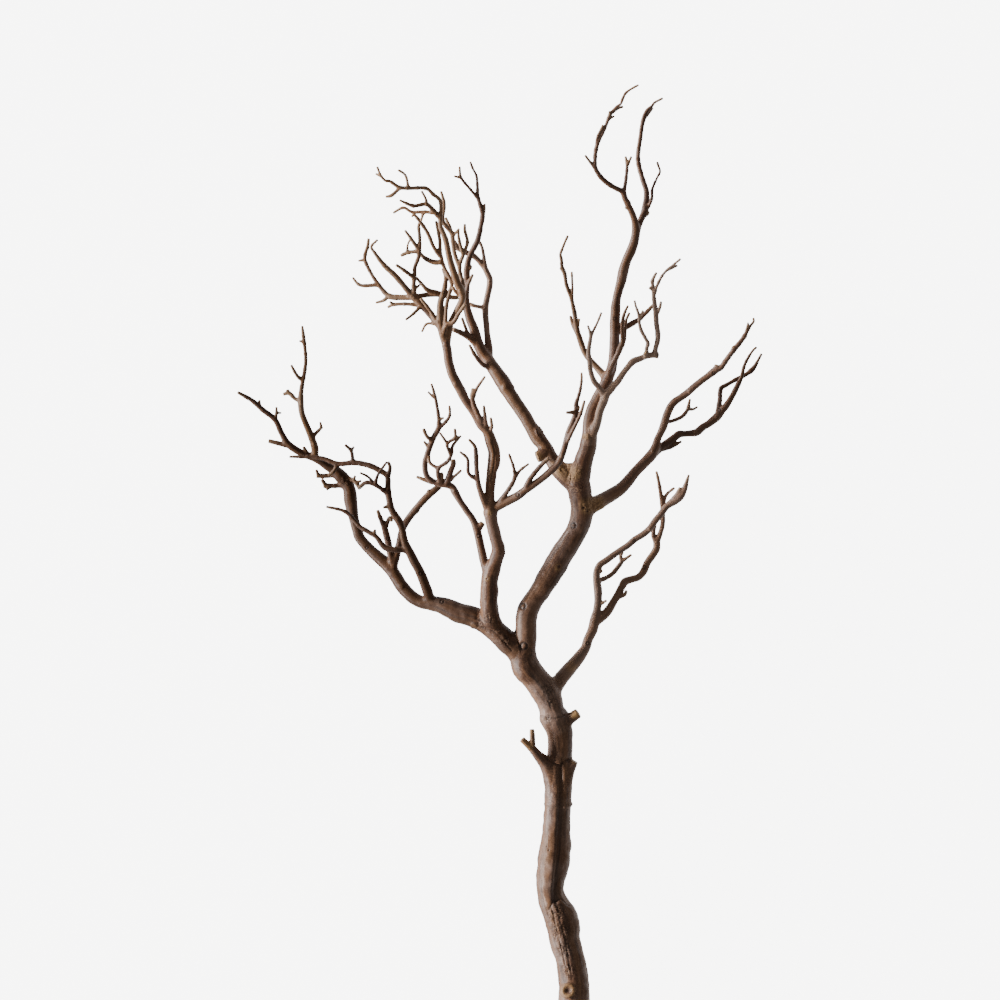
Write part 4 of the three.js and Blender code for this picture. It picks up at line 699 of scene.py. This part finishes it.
def skinTree(material):
    tree = bpy.data.node_groups.new("limb skin", "GeometryNodeTree")
    tree.interface.new_socket("Geometry", in_out="INPUT", socket_type="NodeSocketGeometry")
    sides = tree.interface.new_socket("Sides", in_out="INPUT", socket_type="NodeSocketInt")
    tree.interface.new_socket("Geometry", in_out="OUTPUT", socket_type="NodeSocketGeometry")
    given = addNode(tree, "NodeGroupInput")
    ring = addNode(tree, "GeometryNodeCurvePrimitiveCircle",
                   {"Resolution": given.outputs["Sides"], "Radius": 1.0})
    girth = addNode(tree, "GeometryNodeInputRadius")
    tube = addNode(tree, "GeometryNodeCurveToMesh", {
        "Curve": given.outputs["Geometry"], "Profile Curve": ring.outputs["Curve"],
        "Scale": girth.outputs["Radius"], "Fill Caps": True})
    endTree(tree, tube.outputs["Mesh"], material)
    return tree, sides.identifier


def plainMesh(thing, name):
    # The evaluated object as a plain mesh. The object itself is removed.
    bpy.context.view_layer.update()
    seen = thing.evaluated_get(bpy.context.evaluated_depsgraph_get())
    mesh = bpy.data.meshes.new_from_object(seen)
    mesh.name = name
    data = thing.data
    bpy.data.objects.remove(thing)
    (bpy.data.curves if isinstance(data, bpy.types.Curve) else bpy.data.meshes).remove(data)
    return mesh


def looseTubes(runs, material):
    curve = bpy.data.curves.new("runs", "CURVE")
    curve.dimensions = "3D"
    for run in runs:
        spline = curve.splines.new("POLY")
        count = len(run["points"])
        spline.points.add(count - 1)
        spline.points.foreach_set("co", np.column_stack([run["points"] * mm, np.ones(count)]).ravel())
        spline.points.foreach_set("radius", np.maximum(run["radii"], skin["leastMelt"]) * mm)
    thing = put("runs", curve)
    tree, sides = skinTree(material)
    growth = thing.modifiers.new("skin", "NODES")
    growth.node_group = tree
    growth[sides] = skin["sides"]
    return plainMesh(thing, "tubes")


def fused(mesh):
    thing = put("fused", mesh)
    melt = thing.modifiers.new("melt", "REMESH")
    melt.mode = "VOXEL"
    melt.voxel_size = skin["voxel"] * mm
    return plainMesh(thing, "fused")


def softest(a, b, rounding):
    # Smooth maximum of two distances, and the share that the smaller one has in it.
    blend = np.maximum(rounding - np.abs(a - b), 0) / rounding
    return np.maximum(a, b) + blend ** 2 * rounding / 4, blend / 2


def nearRun(spots, run):
    # Signed gap to one run in mm, the way out, the station on it and the place across it.
    reach = run["radii"].max() + skin["search"]
    low = run["points"].min(0) - reach
    high = run["points"].max(0) + reach
    among = np.flatnonzero(((spots > low) & (spots < high)).all(1))
    count = len(among)
    found = {"gap": np.full(count, skin["far"]), "segment": np.zeros(count, int), "t": np.zeros(count)}
    last = len(run["points"]) - 1
    for first in range(0, last, skin["stretches"]):
        stop = min(first + skin["stretches"], last)
        a, b = run["points"][first:stop], run["points"][first + 1:stop + 1]
        local = run["radii"][first:stop + 1].max() + skin["search"]
        bounds = run["points"][first:stop + 1]
        inside = (spots[among] > bounds.min(0) - local) & (spots[among] < bounds.max(0) + local)
        rows = np.flatnonzero(inside.all(1))
        if not len(rows):
            continue
        along = b - a
        start = spots[among[rows]][:, None] - a
        t = (start * along).sum(2) / (along ** 2).sum(1)
        held = np.clip(t, 0, 1)
        width = run["radii"][first:stop] * (1 - held) + run["radii"][first + 1:stop + 1] * held
        gap = np.linalg.norm(start - held[..., None] * along, axis=2) - width
        pick = gap.argmin(1)
        line = np.arange(len(rows))
        better = gap[line, pick] < found["gap"][rows]
        rows, pick, line = rows[better], pick[better], line[better]
        found["gap"][rows] = gap[line, pick]
        found["segment"][rows] = pick + first
        found["t"][rows] = t[line, pick]
    seen = found["gap"] < skin["far"]
    among, segment, t = among[seen], found["segment"][seen], found["t"][seen]
    held = np.clip(t, 0, 1)[:, None]
    base = run["points"][segment]
    along = run["points"][segment + 1] - base
    length = np.linalg.norm(along, axis=1)
    axis = base + held * along
    width = run["radii"][segment] * (1 - held[:, 0]) + run["radii"][segment + 1] * held[:, 0]
    off = spots[among] - axis
    gap = np.linalg.norm(off, axis=1) - width
    outward = unit(off)
    # Run ends are cut square with a rounded rim.
    for end, sign in ((0, -1.0), (last - 1, 1.0)):
        rows = np.flatnonzero((segment == end) & ((t < 0.5) if sign < 0 else (t > 0.5)))
        if not len(rows):
            continue
        way = sign * along[rows] / length[rows, None]
        tip = run["points"][0] if sign < 0 else run["points"][-1]
        past = ((spots[among[rows]] - tip) * way).sum(1)
        radial = spots[among[rows]] - tip - past[:, None] * way
        rounding = np.minimum(width[rows] * skin["capRounding"], skin["mostRounding"])
        side = np.linalg.norm(radial, axis=1) - width[rows]
        gap[rows], share = softest(side, past, rounding)
        share = np.where(side > past, share, 1 - share)[:, None]
        outward[rows] = unit(unit(radial) * (1 - share) + way * share)
    walked = run["walked"][segment] + np.clip(t, 0, 1) * length
    place = np.column_stack([(off * run["across"][segment]).sum(1), (off * run["over"][segment]).sum(1),
                             walked + run["shift"]])
    return among, gap, outward, width, place, run["walked"][-1] - walked


def nearest(spots, runs):
    # The nearest two runs decide the skin: one gives the round limb, two give the crotch between them.
    count = len(spots)
    near = {name: np.full(count, skin["far"]) for name in ("gap", "next", "toTip")}
    near.update({name: np.zeros((count, 3)) for name in ("out", "nextOut", "place")})
    near.update({name: np.ones(count) for name in ("width", "nextWidth")})
    near.update({name: np.zeros(count, int) for name in ("run", "nextRun")})
    for index, run in enumerate(runs):
        among, gap, outward, width, place, toTip = nearRun(spots, run)
        first = gap < near["gap"][among]
        rows = among[first]
        near["next"][rows], near["nextOut"][rows] = near["gap"][rows], near["out"][rows]
        near["nextWidth"][rows], near["nextRun"][rows] = near["width"][rows], near["run"][rows]
        near["gap"][rows], near["out"][rows], near["width"][rows] = gap[first], outward[first], width[first]
        near["place"][rows], near["toTip"][rows], near["run"][rows] = place[first], toTip[first], index
        second = ~first & (gap < near["next"][among])
        rows = among[second]
        near["next"][rows], near["nextOut"][rows] = gap[second], outward[second]
        near["nextWidth"][rows], near["nextRun"][rows] = width[second], index
    thinner = np.minimum(near["width"], near["nextWidth"])
    reach = skin["fillet"] * thinner + skin["leastFillet"]
    blend = np.maximum(reach - (near["next"] - near["gap"]), 0) / reach
    turn = 1 - (near["out"] * near["nextOut"]).sum(1)
    bend = np.clip(turn / skin["fullTurn"], 0, 1)       # none where one run goes on as the next
    near["apart"] = np.clip((near["next"] - near["gap"]) / (reach * skin["apartBy"]), 0, 1)
    near["surface"] = near["gap"] - blend ** 2 * reach / 4 * bend
    share = (blend / 2 * bend)[:, None]
    near["way"] = unit(near["out"] * (1 - share) + near["nextOut"] * share)
    return near


relief = {                  # depths in mm, or as a share of the limb's girth
    "Lump Scale": 1 / 11.0, "Lump Depth": 0.028,
    "Ridge Scale": 1 / 3.4, "Ridge Depth": 0.16,
    "Wrinkle Scale": 1 / 2.4, "Wrinkle Depth": 0.55,
    "Crack Scale": 1 / 4.0, "Crack Depth": 0.45,
}
reliefForm = {              # how much the grain draws ridges and cracks out, and the crack's share of a flake
    "ridgeStretch": 0.1, "crackStretch": 0.28, "crackWidth": 0.13, "wrinkleDetail": 1.5, "wrinkleBend": 0.6,
}


def reliefTree(material):
    # Long ridges, wrinkles, cracks and lumps, pushed out along the skin's normals. How far they sink is kept
    # for painted shade in the cracks.
    tree = bpy.data.node_groups.new("bark relief", "GeometryNodeTree")
    tree.interface.new_socket("Geometry", in_out="INPUT", socket_type="NodeSocketGeometry")
    names = {}
    for name in relief:
        socket = tree.interface.new_socket(name, in_out="INPUT", socket_type="NodeSocketFloat")
        names[name] = socket.identifier
    tree.interface.new_socket("Geometry", in_out="OUTPUT", socket_type="NodeSocketGeometry")
    given = addNode(tree, "NodeGroupInput")
    own = {}
    for name, kind in (("grain", "FLOAT_VECTOR"), ("girth", "FLOAT"), ("age", "FLOAT"), ("apart", "FLOAT"),
                       ("knot", "FLOAT"), ("rough", "FLOAT")):
        node = addNode(tree, "GeometryNodeInputNamedAttribute", {"Name": name}, data_type=kind)
        own[name] = node.outputs[0]
    spot = addNode(tree, "GeometryNodeInputPosition").outputs[0]
    place = addNode(tree, "ShaderNodeVectorMath", {0: spot, 3: 1 / mm}, operation="SCALE").outputs[0]
    drawn, split = [addNode(tree, "ShaderNodeVectorMath", {
        0: own["grain"], 1: (1.0, 1.0, reliefForm[name])}, operation="MULTIPLY").outputs[0]
        for name in ("ridgeStretch", "crackStretch")]
    ridges = addNode(tree, "ShaderNodeTexNoise", {
        "Vector": drawn, "Scale": given.outputs["Ridge Scale"], "Detail": 1.0}, normalize=False)
    wrinkles = addNode(tree, "ShaderNodeTexNoise", {
        "Vector": place, "Scale": given.outputs["Wrinkle Scale"], "Detail": reliefForm["wrinkleDetail"],
        "Distortion": reliefForm["wrinkleBend"]}, normalize=False)
    cells = addNode(tree, "ShaderNodeTexVoronoi", {
        "Vector": split, "Scale": given.outputs["Crack Scale"]}, feature="DISTANCE_TO_EDGE")
    cracks = addNode(tree, "ShaderNodeMapRange", {
        "Value": cells.outputs["Distance"], "From Max": reliefForm["crackWidth"],
        "To Min": -1.0, "To Max": 0.0})
    lumps = addNode(tree, "ShaderNodeTexNoise", {
        "Vector": place, "Scale": given.outputs["Lump Scale"], "Detail": 1.0}, normalize=False)
    total = 0.0
    for name, pattern, reach in (("Ridge", ridges, ("apart", "age")), ("Wrinkle", wrinkles, ("rough",)),
                                 ("Crack", cracks, ("apart", "rough")), ("Lump", lumps, ("girth",))):
        rise = pattern.outputs[0]
        for factor in [given.outputs[name + " Depth"]] + [own[part] for part in reach]:
            rise = addNode(tree, "ShaderNodeMath", {0: rise, 1: factor}, operation="MULTIPLY").outputs[0]
        total = addNode(tree, "ShaderNodeMath", {0: total, 1: rise}, operation="ADD").outputs[0]
        if name == "Crack":
            creviceShade = total          # the sunken ridges, wrinkles and cracks are kept for painted shade; lumps and knots don't darken the bark
    total = addNode(tree, "ShaderNodeMath", {0: total, 1: own["knot"]}, operation="ADD").outputs[0]
    rise = addNode(tree, "ShaderNodeMath", {0: total, 1: mm}, operation="MULTIPLY").outputs[0]
    push = addNode(tree, "ShaderNodeVectorMath", {
        0: addNode(tree, "GeometryNodeInputNormal").outputs[0], 3: rise}, operation="SCALE")
    moved = addNode(tree, "GeometryNodeSetPosition", {
        "Geometry": given.outputs["Geometry"], "Offset": push.outputs[0]})
    kept = addNode(tree, "GeometryNodeStoreNamedAttribute", {
        "Geometry": moved.outputs["Geometry"], "Name": "creviceShade", "Value": creviceShade},
        data_type="FLOAT", domain="POINT")
    endTree(tree, kept.outputs["Geometry"], material)
    return tree, names


def vectorsOf(items, key):
    flat = np.empty(len(items) * 3, np.float32)
    items.foreach_get(key, flat)
    return flat.reshape(-1, 3).astype(float)


def moveTo(mesh, spots):
    mesh.vertices.foreach_set("co", spots.astype(np.float32).ravel())
    mesh.update()


def storeOn(mesh, name, values):
    kind, key = ("FLOAT_VECTOR", "vector") if values.ndim > 1 else ("FLOAT", "value")
    mesh.attributes.new(name, kind, "POINT").data.foreach_set(key, values.astype(np.float32).ravel())


def easedStep(low, high, values):
    t = np.clip((values - low) / (high - low), 0, 1)
    return t * t * (3 - 2 * t)


def fromLine(spots, path):
    # Distance in the photo's plane from a drawn line.
    least = np.full(len(spots), skin["far"])
    for a, b in zip(path, path[1:]):
        t = np.clip(((spots - a) @ (b - a)) / ((b - a) @ (b - a)), 0, 1)
        least = np.minimum(least, np.linalg.norm(spots - a - t[:, None] * (b - a), axis=1))
    return least


def marked(spots, up, owner):
    # Knots, scars, sawn ends and grooves stand where the photo shows them, most only on the upper side.
    knot, pale, rough = np.zeros((3, len(spots)))
    for index, limb in enumerate(limbs):
        mine = np.flatnonzero(owner == index)
        for across, down, size, kind in limb["marks"]:
            shape = markShapes[kind]
            share = np.linalg.norm(spots[mine, :2] - toFrame([[across, down]]), axis=1) / size
            close = share < markFade["reach"]
            rows, share = mine[close], share[close]
            facing = easedStep(*markFade["markFaces"], up[rows])
            if kind in ("sawn", "tan"):     # these go all the way round
                facing = np.ones(len(rows))
            dome = np.exp(-(share / markFade["dome"]) ** 4) * facing
            hole = shape.get("hole", 0.0)
            dentWidth = markFade["dent"] - markFade["ringThinner"] * hole
            dent = np.exp(-((share - hole) / dentWidth) ** 2) * facing
            knot[rows] += dome * shape["rise"] - dent * shape["pit"]
            # The darkening in a mark's dent is painted shade in the pit.
            pale[rows] += dome * shape["pale"] - dent * shape["pitShade"]
            rough[rows] = np.maximum(rough[rows], dome * shape["rough"])
        for width, depth, path in limb.get("grooves", []):
            away = fromLine(spots[mine, :2], toFrame(path)) / width
            close = away < markFade["grooveReach"]
            rows, away = mine[close], away[close]
            cut = np.exp(-(away / markFade["grooveCut"]) ** 2)
            cut = cut * easedStep(*markFade["grooveFaces"], up[rows])
            knot[rows] -= cut * depth
            # Painted shade along the groove.
            pale[rows] -= cut * markFade["grooveShade"]
    return knot, np.clip(pale, -1, 1), rough


def wholeSkin(material):
    runs = grownRuns()
    print("runs:", len(runs))
    mesh = fused(looseTubes(runs, material))
    print("fused skin:", len(mesh.polygons), "faces")
    spots = vectorsOf(mesh.vertices, "co") / mm
    for step in range(skin["steps"]):
        near = nearest(spots, runs)
        spots -= np.clip(near["surface"], -skin["mostStep"], skin["mostStep"])[:, None] * near["way"]
    near = nearest(spots, runs)
    owner = np.array([run["limb"] for run in runs])[near["run"]]
    moveTo(mesh, spots * mm)
    knot, pale, rough = marked(spots, vectorsOf(mesh.vertex_normals, "vector")[:, 2], owner)
    width = near["width"]
    # Each limb's painted light and shade, faded across its forks into the next limb's.
    paintedLightShades = np.array([limbs[run["limb"]]["paintedLightShade"] for run in runs])
    share = 0.5 - 0.5 * easedStep(0.0, skin["paintedLightFade"], near["next"] - near["gap"])
    stout = np.maximum(width - skin["tipRadius"], 0) * skin["tipHurry"]     # only thin ends are pale
    layers = {
        "grain": near["place"], "girth": width * 2, "age": easedStep(*skin["ageRadius"], width),
        "apart": near["apart"], "knot": knot, "pale": pale, "rough": rough,
        "tip": 1 - easedStep(*skin["tipFade"], near["toTip"] + stout),
        "paintedLightShade": paintedLightShades[near["run"]] * (1 - share) + paintedLightShades[near["nextRun"]] * share,
    }
    for name, values in layers.items():
        storeOn(mesh, name, values)
    thing = put("skin", mesh)
    tree, names = reliefTree(material)
    bark = thing.modifiers.new("relief", "NODES")
    bark.node_group = tree
    for name, value in relief.items():
        bark[names[name]] = value
    mesh = plainMesh(thing, "skin")
    spots = vectorsOf(mesh.vertices, "co")
    spots[:, 2] = np.maximum(spots[:, 2], 0.0)      # nothing sinks into the floor
    moveTo(mesh, spots)
    print("bark relief done")
    return mesh, owner


def cutLoose(mesh, owner):
    # One closed mesh for each limb. Every cut at a fork gets a fan over its rim.
    corners = np.empty(len(mesh.loops), np.int32)
    mesh.loops.foreach_get("vertex_index", corners)
    sizes = np.empty(len(mesh.polygons), np.int32)
    mesh.polygons.foreach_get("loop_total", sizes)
    starts = np.concatenate([[0], np.cumsum(sizes)[:-1]])
    faces = np.column_stack([corners[starts], corners[starts + 1], corners[starts + 2],
                             corners[starts + np.minimum(3, sizes - 1)]])
    label = owner[faces[:, 0]]
    spots = vectorsOf(mesh.vertices, "co")
    normals = vectorsOf(mesh.vertex_normals, "vector")
    carried = {}
    for name in shaded:
        layer = mesh.attributes[name]
        wide = 3 if layer.data_type == "FLOAT_VECTOR" else 1
        flat = np.empty(len(spots) * wide, np.float32)
        layer.data.foreach_get("vector" if wide == 3 else "value", flat)
        carried[name] = flat.reshape(-1, 3) if wide == 3 else flat
    for index, limb in enumerate(limbs):
        mine = faces[label == index]
        used, local = np.unique(mine, return_inverse=True)
        local = local.reshape(-1, 4)
        edges = np.vstack([local[:, [0, 1]], local[:, [1, 2]], local[:, [2, 3]], local[:, [3, 0]]])
        edges = edges[edges[:, 0] != edges[:, 1]]
        total = len(used)
        keys = set((edges[:, 0].astype(np.int64) * total + edges[:, 1]).tolist())
        rim = sorted((key // total, key % total) for key in keys
                     if (key % total) * total + key // total not in keys)
        group = {}

        def root(v):
            while group.setdefault(v, v) != v:
                group[v] = group[group[v]]
                v = group[v]
            return v

        for a, b in rim:
            group[root(a)] = root(b)
        hubs = sorted({root(a) for a, b in rim})
        hubOf = {hub: total + i for i, hub in enumerate(hubs)}
        rings = {hub: sorted({v for v in group if root(v) == hub}) for hub in hubs}
        own = spots[used]
        middles = np.array([own[rings[hub]].mean(0) for hub in hubs]).reshape(-1, 3)
        fans = [(b, a, hubOf[root(a)]) for a, b in rim]
        flat = [tuple(dict.fromkeys(face)) for face in local.tolist()] + fans
        piece = bpy.data.meshes.new(limb["node"])
        piece.from_pydata(np.vstack([own, middles]), [], flat, shade_flat=False)
        for name, values in carried.items():
            extra = np.array([values[used][rings[hub]].mean(0) for hub in hubs], np.float32)
            storeOn(piece, name, np.concatenate([values[used], extra.reshape((-1,) + values.shape[1:])]))
        middleNormals = np.tile([0.0, 0.0, 1.0], (len(hubs), 1))
        piece.normals_split_custom_set_from_vertices(np.vstack([normals[used], middleNormals]))
        yield limb, piece


# Bark on dry shrub wood: a thin satin skin over reddish wood, drawn out into long streaks.
barks = {
    # The stem's gritty old bark, grey in patches.
    "old_bark": {"name": "weathered bark", "deep": "#311c12", "warm": "#64432e", "grey": "#8c766c",
                 "bloom": 0.34, "rough": (0.4, 0.58), "bump": 0.2, "grit": 0.32},
    # The limbs' smooth brown bark, with the softest shine.
    "smooth_bark": {"name": "satin bark", "deep": "#3a2216", "warm": "#69462f", "grey": "#8f776c",
                    "bloom": 0.22, "rough": (0.4, 0.58), "bump": 0.18, "grit": 0.26},
    # The twigs' thin bark, paler and duller than the limbs'.
    "twig_bark": {"name": "dry twig bark", "deep": "#462b1b", "warm": "#85603f", "grey": "#a0876f",
                  "bloom": 0.36, "rough": (0.42, 0.6), "bump": 0.14, "grit": 0.18},
}
barkPattern = {
    "streak": 2.4, "streakStretch": 0.05,       # mm across the grain, and its share of the length along it
    "band": 8.0,                                # mm between ochre bands, across the grain
    "patch": 30.0,                              # mm between grey and brown patches
    "grit": 1.4,                                # mm, drawn about twice its size so that it shows
    # The near-black is painted shade for cracks, grooves and pits.
    "ochre": "#765132", "flake": "#94755a", "creviceShade": "#140b08", "tip": "#9a7a5c",
    "wood": "#b08a58", "woodDark": "#6b4a2e",
    "paintedLightPale": "#a38b7a",                         # the most brightly lit limbs turn towards this painted highlight colour
    "mostPaintedLight": 1.3,                            # above this a limb's painted light grows no brighter and turns towards the pale painted highlight instead
    "roughDuller": 0.2, "bumpDepth": 0.4,       # how much duller flaky bark is, and mm of fine relief
}


def barkMaterial(look):
    material = bpy.data.materials.new(look["name"])
    material.use_nodes = True
    tree = material.node_tree
    tree.nodes.clear()
    own = {}
    for name in shaded:
        node = addNode(tree, "ShaderNodeAttribute", attribute_name=name)
        own[name] = node.outputs["Vector" if name == "grain" else "Fac"]
    place = addNode(tree, "ShaderNodeTexCoord").outputs["Object"]
    drawn = addNode(tree, "ShaderNodeVectorMath", {
        0: own["grain"], 1: (1.0, 1.0, barkPattern["streakStretch"])}, operation="MULTIPLY").outputs[0]
    noise = {}
    for name, vector, scale, detail in (("streaks", drawn, 1 / barkPattern["streak"], 3.0),
                                        ("bands", drawn, 1 / barkPattern["band"], 2.0),
                                        ("patches", place, 1 / (barkPattern["patch"] * mm), 2.0),
                                        ("grit", place, 1 / (barkPattern["grit"] * mm), 3.0)):
        noise[name] = addNode(tree, "ShaderNodeTexNoise", {
            "Vector": vector, "Scale": scale, "Detail": detail, "Roughness": 0.55}).outputs[0]
    # At a fork two grains meet, so the streaks give way to the grit there.
    streak = addNode(tree, "ShaderNodeMix", {
        0: own["apart"], 2: noise["grit"], 3: noise["streaks"]}).outputs[0]
    crust = addNode(tree, "ShaderNodeMath", {
        0: own["rough"], 1: look["grit"]}, operation="MAXIMUM").outputs[0]
    low, high = look["rough"]
    share = {}
    # What each share is read from, where it starts and stops there, and its value at either end.
    for name, value, start, stop, least, most in (
            ("streaked", streak, 0.32, 0.7, 0.0, 1.0),
            ("banded", noise["bands"], 0.46, 0.7, 0.0, 0.55),
            ("bloomed", noise["patches"], 0.45, 0.68, 0.0, look["bloom"]),
            ("tipped", own["tip"], 0.0, 1.0, 0.0, 0.55),
            ("gritty", noise["grit"], 0.5, 0.38, 0.0, 0.6),
            ("flaked", noise["grit"], 0.52, 0.64, 0.0, 0.6),
            # Painted shade in the cracks and hollows of the relief.
            ("sunkShade", own["creviceShade"], -0.05, -0.6, 0.0, 0.7),
            ("speckled", noise["grit"], 0.2, 0.45, 0.0, 1.0),
            # Painted shade in grooves and pits.
            ("dentShade", own["pale"], 0.0, -1.0, 0.0, 1.0),
            ("woody", streak, 0.35, 0.65, 0.0, 1.0),
            ("sheen", own["paintedLightShade"], 0.4, 1.0, 0.1, 0.36),
            # Painted highlight: limbs lit past the most painted light turn towards a pale colour.
            ("paintedLightPale", own["paintedLightShade"], barkPattern["mostPaintedLight"], 2.4, 0.0, 0.42),
            ("dull", streak, 0.3, 0.7, high, low)):
        share[name] = addNode(tree, "ShaderNodeMapRange", {
            "Value": value, "From Min": start, "From Max": stop,
            "To Min": least, "To Max": most}).outputs[0]
    for name, a, b in (("coarse", crust, share["gritty"]), ("scaly", crust, share["flaked"]),
                       ("bare", own["pale"], share["speckled"]),
                       ("drawn", noise["streaks"], own["apart"]), ("grainy", noise["grit"], crust)):
        share[name] = addNode(tree, "ShaderNodeMath", {
            0: a, 1: b}, operation="MULTIPLY", use_clamp=True).outputs[0]
    paint = {name: linear(barkPattern[name])
             for name in ("ochre", "flake", "creviceShade", "tip", "wood", "woodDark", "paintedLightPale")}
    paint.update({name: linear(look[name]) for name in ("deep", "warm", "grey")})
    paint["bare"] = addNode(tree, "ShaderNodeMix", {
        0: share["woody"], 6: paint["woodDark"], 7: paint["wood"]}, data_type="RGBA").outputs[2]
    colour = paint["deep"]
    for name, over in (("streaked", "warm"), ("banded", "ochre"), ("bloomed", "grey"), ("tipped", "tip"),
                       ("coarse", "deep"), ("scaly", "flake"), ("sunkShade", "creviceShade"), ("paintedLightPale", "paintedLightPale"),
                       ("bare", "bare"), ("dentShade", "creviceShade")):
        colour = addNode(tree, "ShaderNodeMix", {
            0: share[name], 6: colour, 7: paint[over]}, data_type="RGBA").outputs[2]
    # Painted light and shade: each limb's share scales the bark colour, up to its most.
    held = addNode(tree, "ShaderNodeMath", {
        0: own["paintedLightShade"], 1: barkPattern["mostPaintedLight"]}, operation="MINIMUM")
    toned = addNode(tree, "ShaderNodeVectorMath", {0: colour, 3: held.outputs[0]}, operation="SCALE")
    gloss = addNode(tree, "ShaderNodeMath", {
        0: own["rough"], 1: barkPattern["roughDuller"], 2: share["dull"]}, operation="MULTIPLY_ADD")
    height = addNode(tree, "ShaderNodeMath", {0: share["drawn"], 1: share["grainy"]}, operation="ADD")
    bump = addNode(tree, "ShaderNodeBump", {
        "Height": height.outputs[0], "Strength": look["bump"],
        "Distance": barkPattern["bumpDepth"] * mm})
    surface = addNode(tree, "ShaderNodeBsdfPrincipled", {
        "Base Color": toned.outputs[0], "Roughness": gloss.outputs[0], "Normal": bump.outputs[0], "IOR": 1.5,
        "Specular IOR Level": share["sheen"]})
    addNode(tree, "ShaderNodeOutputMaterial", {"Surface": surface.outputs[0]})
    return material


materials = {slot: barkMaterial(look) for slot, look in barks.items()}
print("materials:", ", ".join(material.name for material in materials.values()))

mesh, owner = wholeSkin(materials["smooth_bark"])
for limb, piece in cutLoose(mesh, owner):
    piece.materials.append(materials[limb["slot"]])
    thing = put(limb["node"] + "_bark", piece)
    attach(thing, "root")
    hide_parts(limb["node"])
    print(limb["node"], len(piece.polygons), "faces")
bpy.data.meshes.remove(mesh)

stage = {"reach": 14.0, "level": -mm, "floor": "#8c8c8c", "roughness": 0.95,
         "glow": 7.6, "glowColour": "#fbfbfa"}
floorMesh = bpy.data.meshes.new("floor")
half = stage["reach"] / 2
corners = ((-half, -half), (half, -half), (half, half), (-half, half))
floorMesh.from_pydata([(x, y, stage["level"]) for x, y in corners], [], [(0, 1, 2, 3)])
floor = put("floor", floorMesh)
paper = bpy.data.materials.new("matt paper")        # a plain pale sheet lit through, with no gloss
paper.use_nodes = True
sheet = paper.node_tree.nodes["Principled BSDF"]
for socket, value in (("Base Color", linear(stage["floor"])), ("Roughness", stage["roughness"]),
                      ("Emission Color", linear(stage["glowColour"])), ("Emission Strength", stage["glow"])):
    sheet.inputs[socket].default_value = value
floorMesh.materials.append(paper)
floor.visible_diffuse = False       # the room below stands for its bounce
floor.visible_glossy = False

window = {"at": (-11.6, 0.2, 1.6), "size": (16.0, 1.6), "power": 6200}       # metres and watts
lamp = bpy.data.lights.new("left window", "AREA")
lamp.shape = "RECTANGLE"
lamp.size, lamp.size_y = window["size"]
lamp.energy = window["power"]
light = put("left window", lamp)
light.location = window["at"]
light.rotation_euler = (-light.location).to_track_quat("-Z", "Y").to_euler()

# Pale walls all round, a dim ceiling, and the sheet below that lights the edges of every limb.
room = {"walls": 0.4, "ceiling": 0.26, "ceilingFrom": 0.45, "below": 1.1, "belowFrom": -0.5}
world = bpy.data.worlds.new("studio")
world.use_nodes = True
sky = world.node_tree
facing = addNode(sky, "ShaderNodeSeparateXYZ", {0: addNode(sky, "ShaderNodeTexCoord").outputs["Generated"]})
glow = []
for reach, least, most in ((room["ceilingFrom"], room["walls"], room["ceiling"]),
                           (room["belowFrom"], 0.0, room["below"])):
    ramp = addNode(sky, "ShaderNodeMapRange", {
        "Value": facing.outputs["Z"], "From Min": 0.0, "From Max": reach, "To Min": least, "To Max": most})
    glow.append(ramp.outputs[0])
strength = addNode(sky, "ShaderNodeMath", {0: glow[0], 1: glow[1]}, operation="ADD")
sky.links.new(strength.outputs[0], sky.nodes["Background"].inputs["Strength"])
sky.nodes["Background"].inputs["Color"].default_value = (1.0, 1.0, 1.0, 1.0)
bpy.context.scene.world = world

# Straight down, from so far that the view is all but parallel: the photo's frame is 1 m across.
shot = {"away": 30.0, "level": 0.09, "span": 1.0, "sensor": 36.0, "across": 500.1, "down": 499.3,
        "farthest": 200.0}
lens = bpy.data.cameras.new("camera")
lens.sensor_width = shot["sensor"]
lens.lens = shot["sensor"] * shot["away"] / shot["span"]
lens.clip_end = shot["farthest"]
camera = put("camera", lens)
camera.location = ((shot["across"] - board["middleAcross"]) * mm, (board["middleDown"] - shot["down"]) * mm,
                   shot["away"] + shot["level"])
bpy.context.scene.camera = camera
print("stage set")
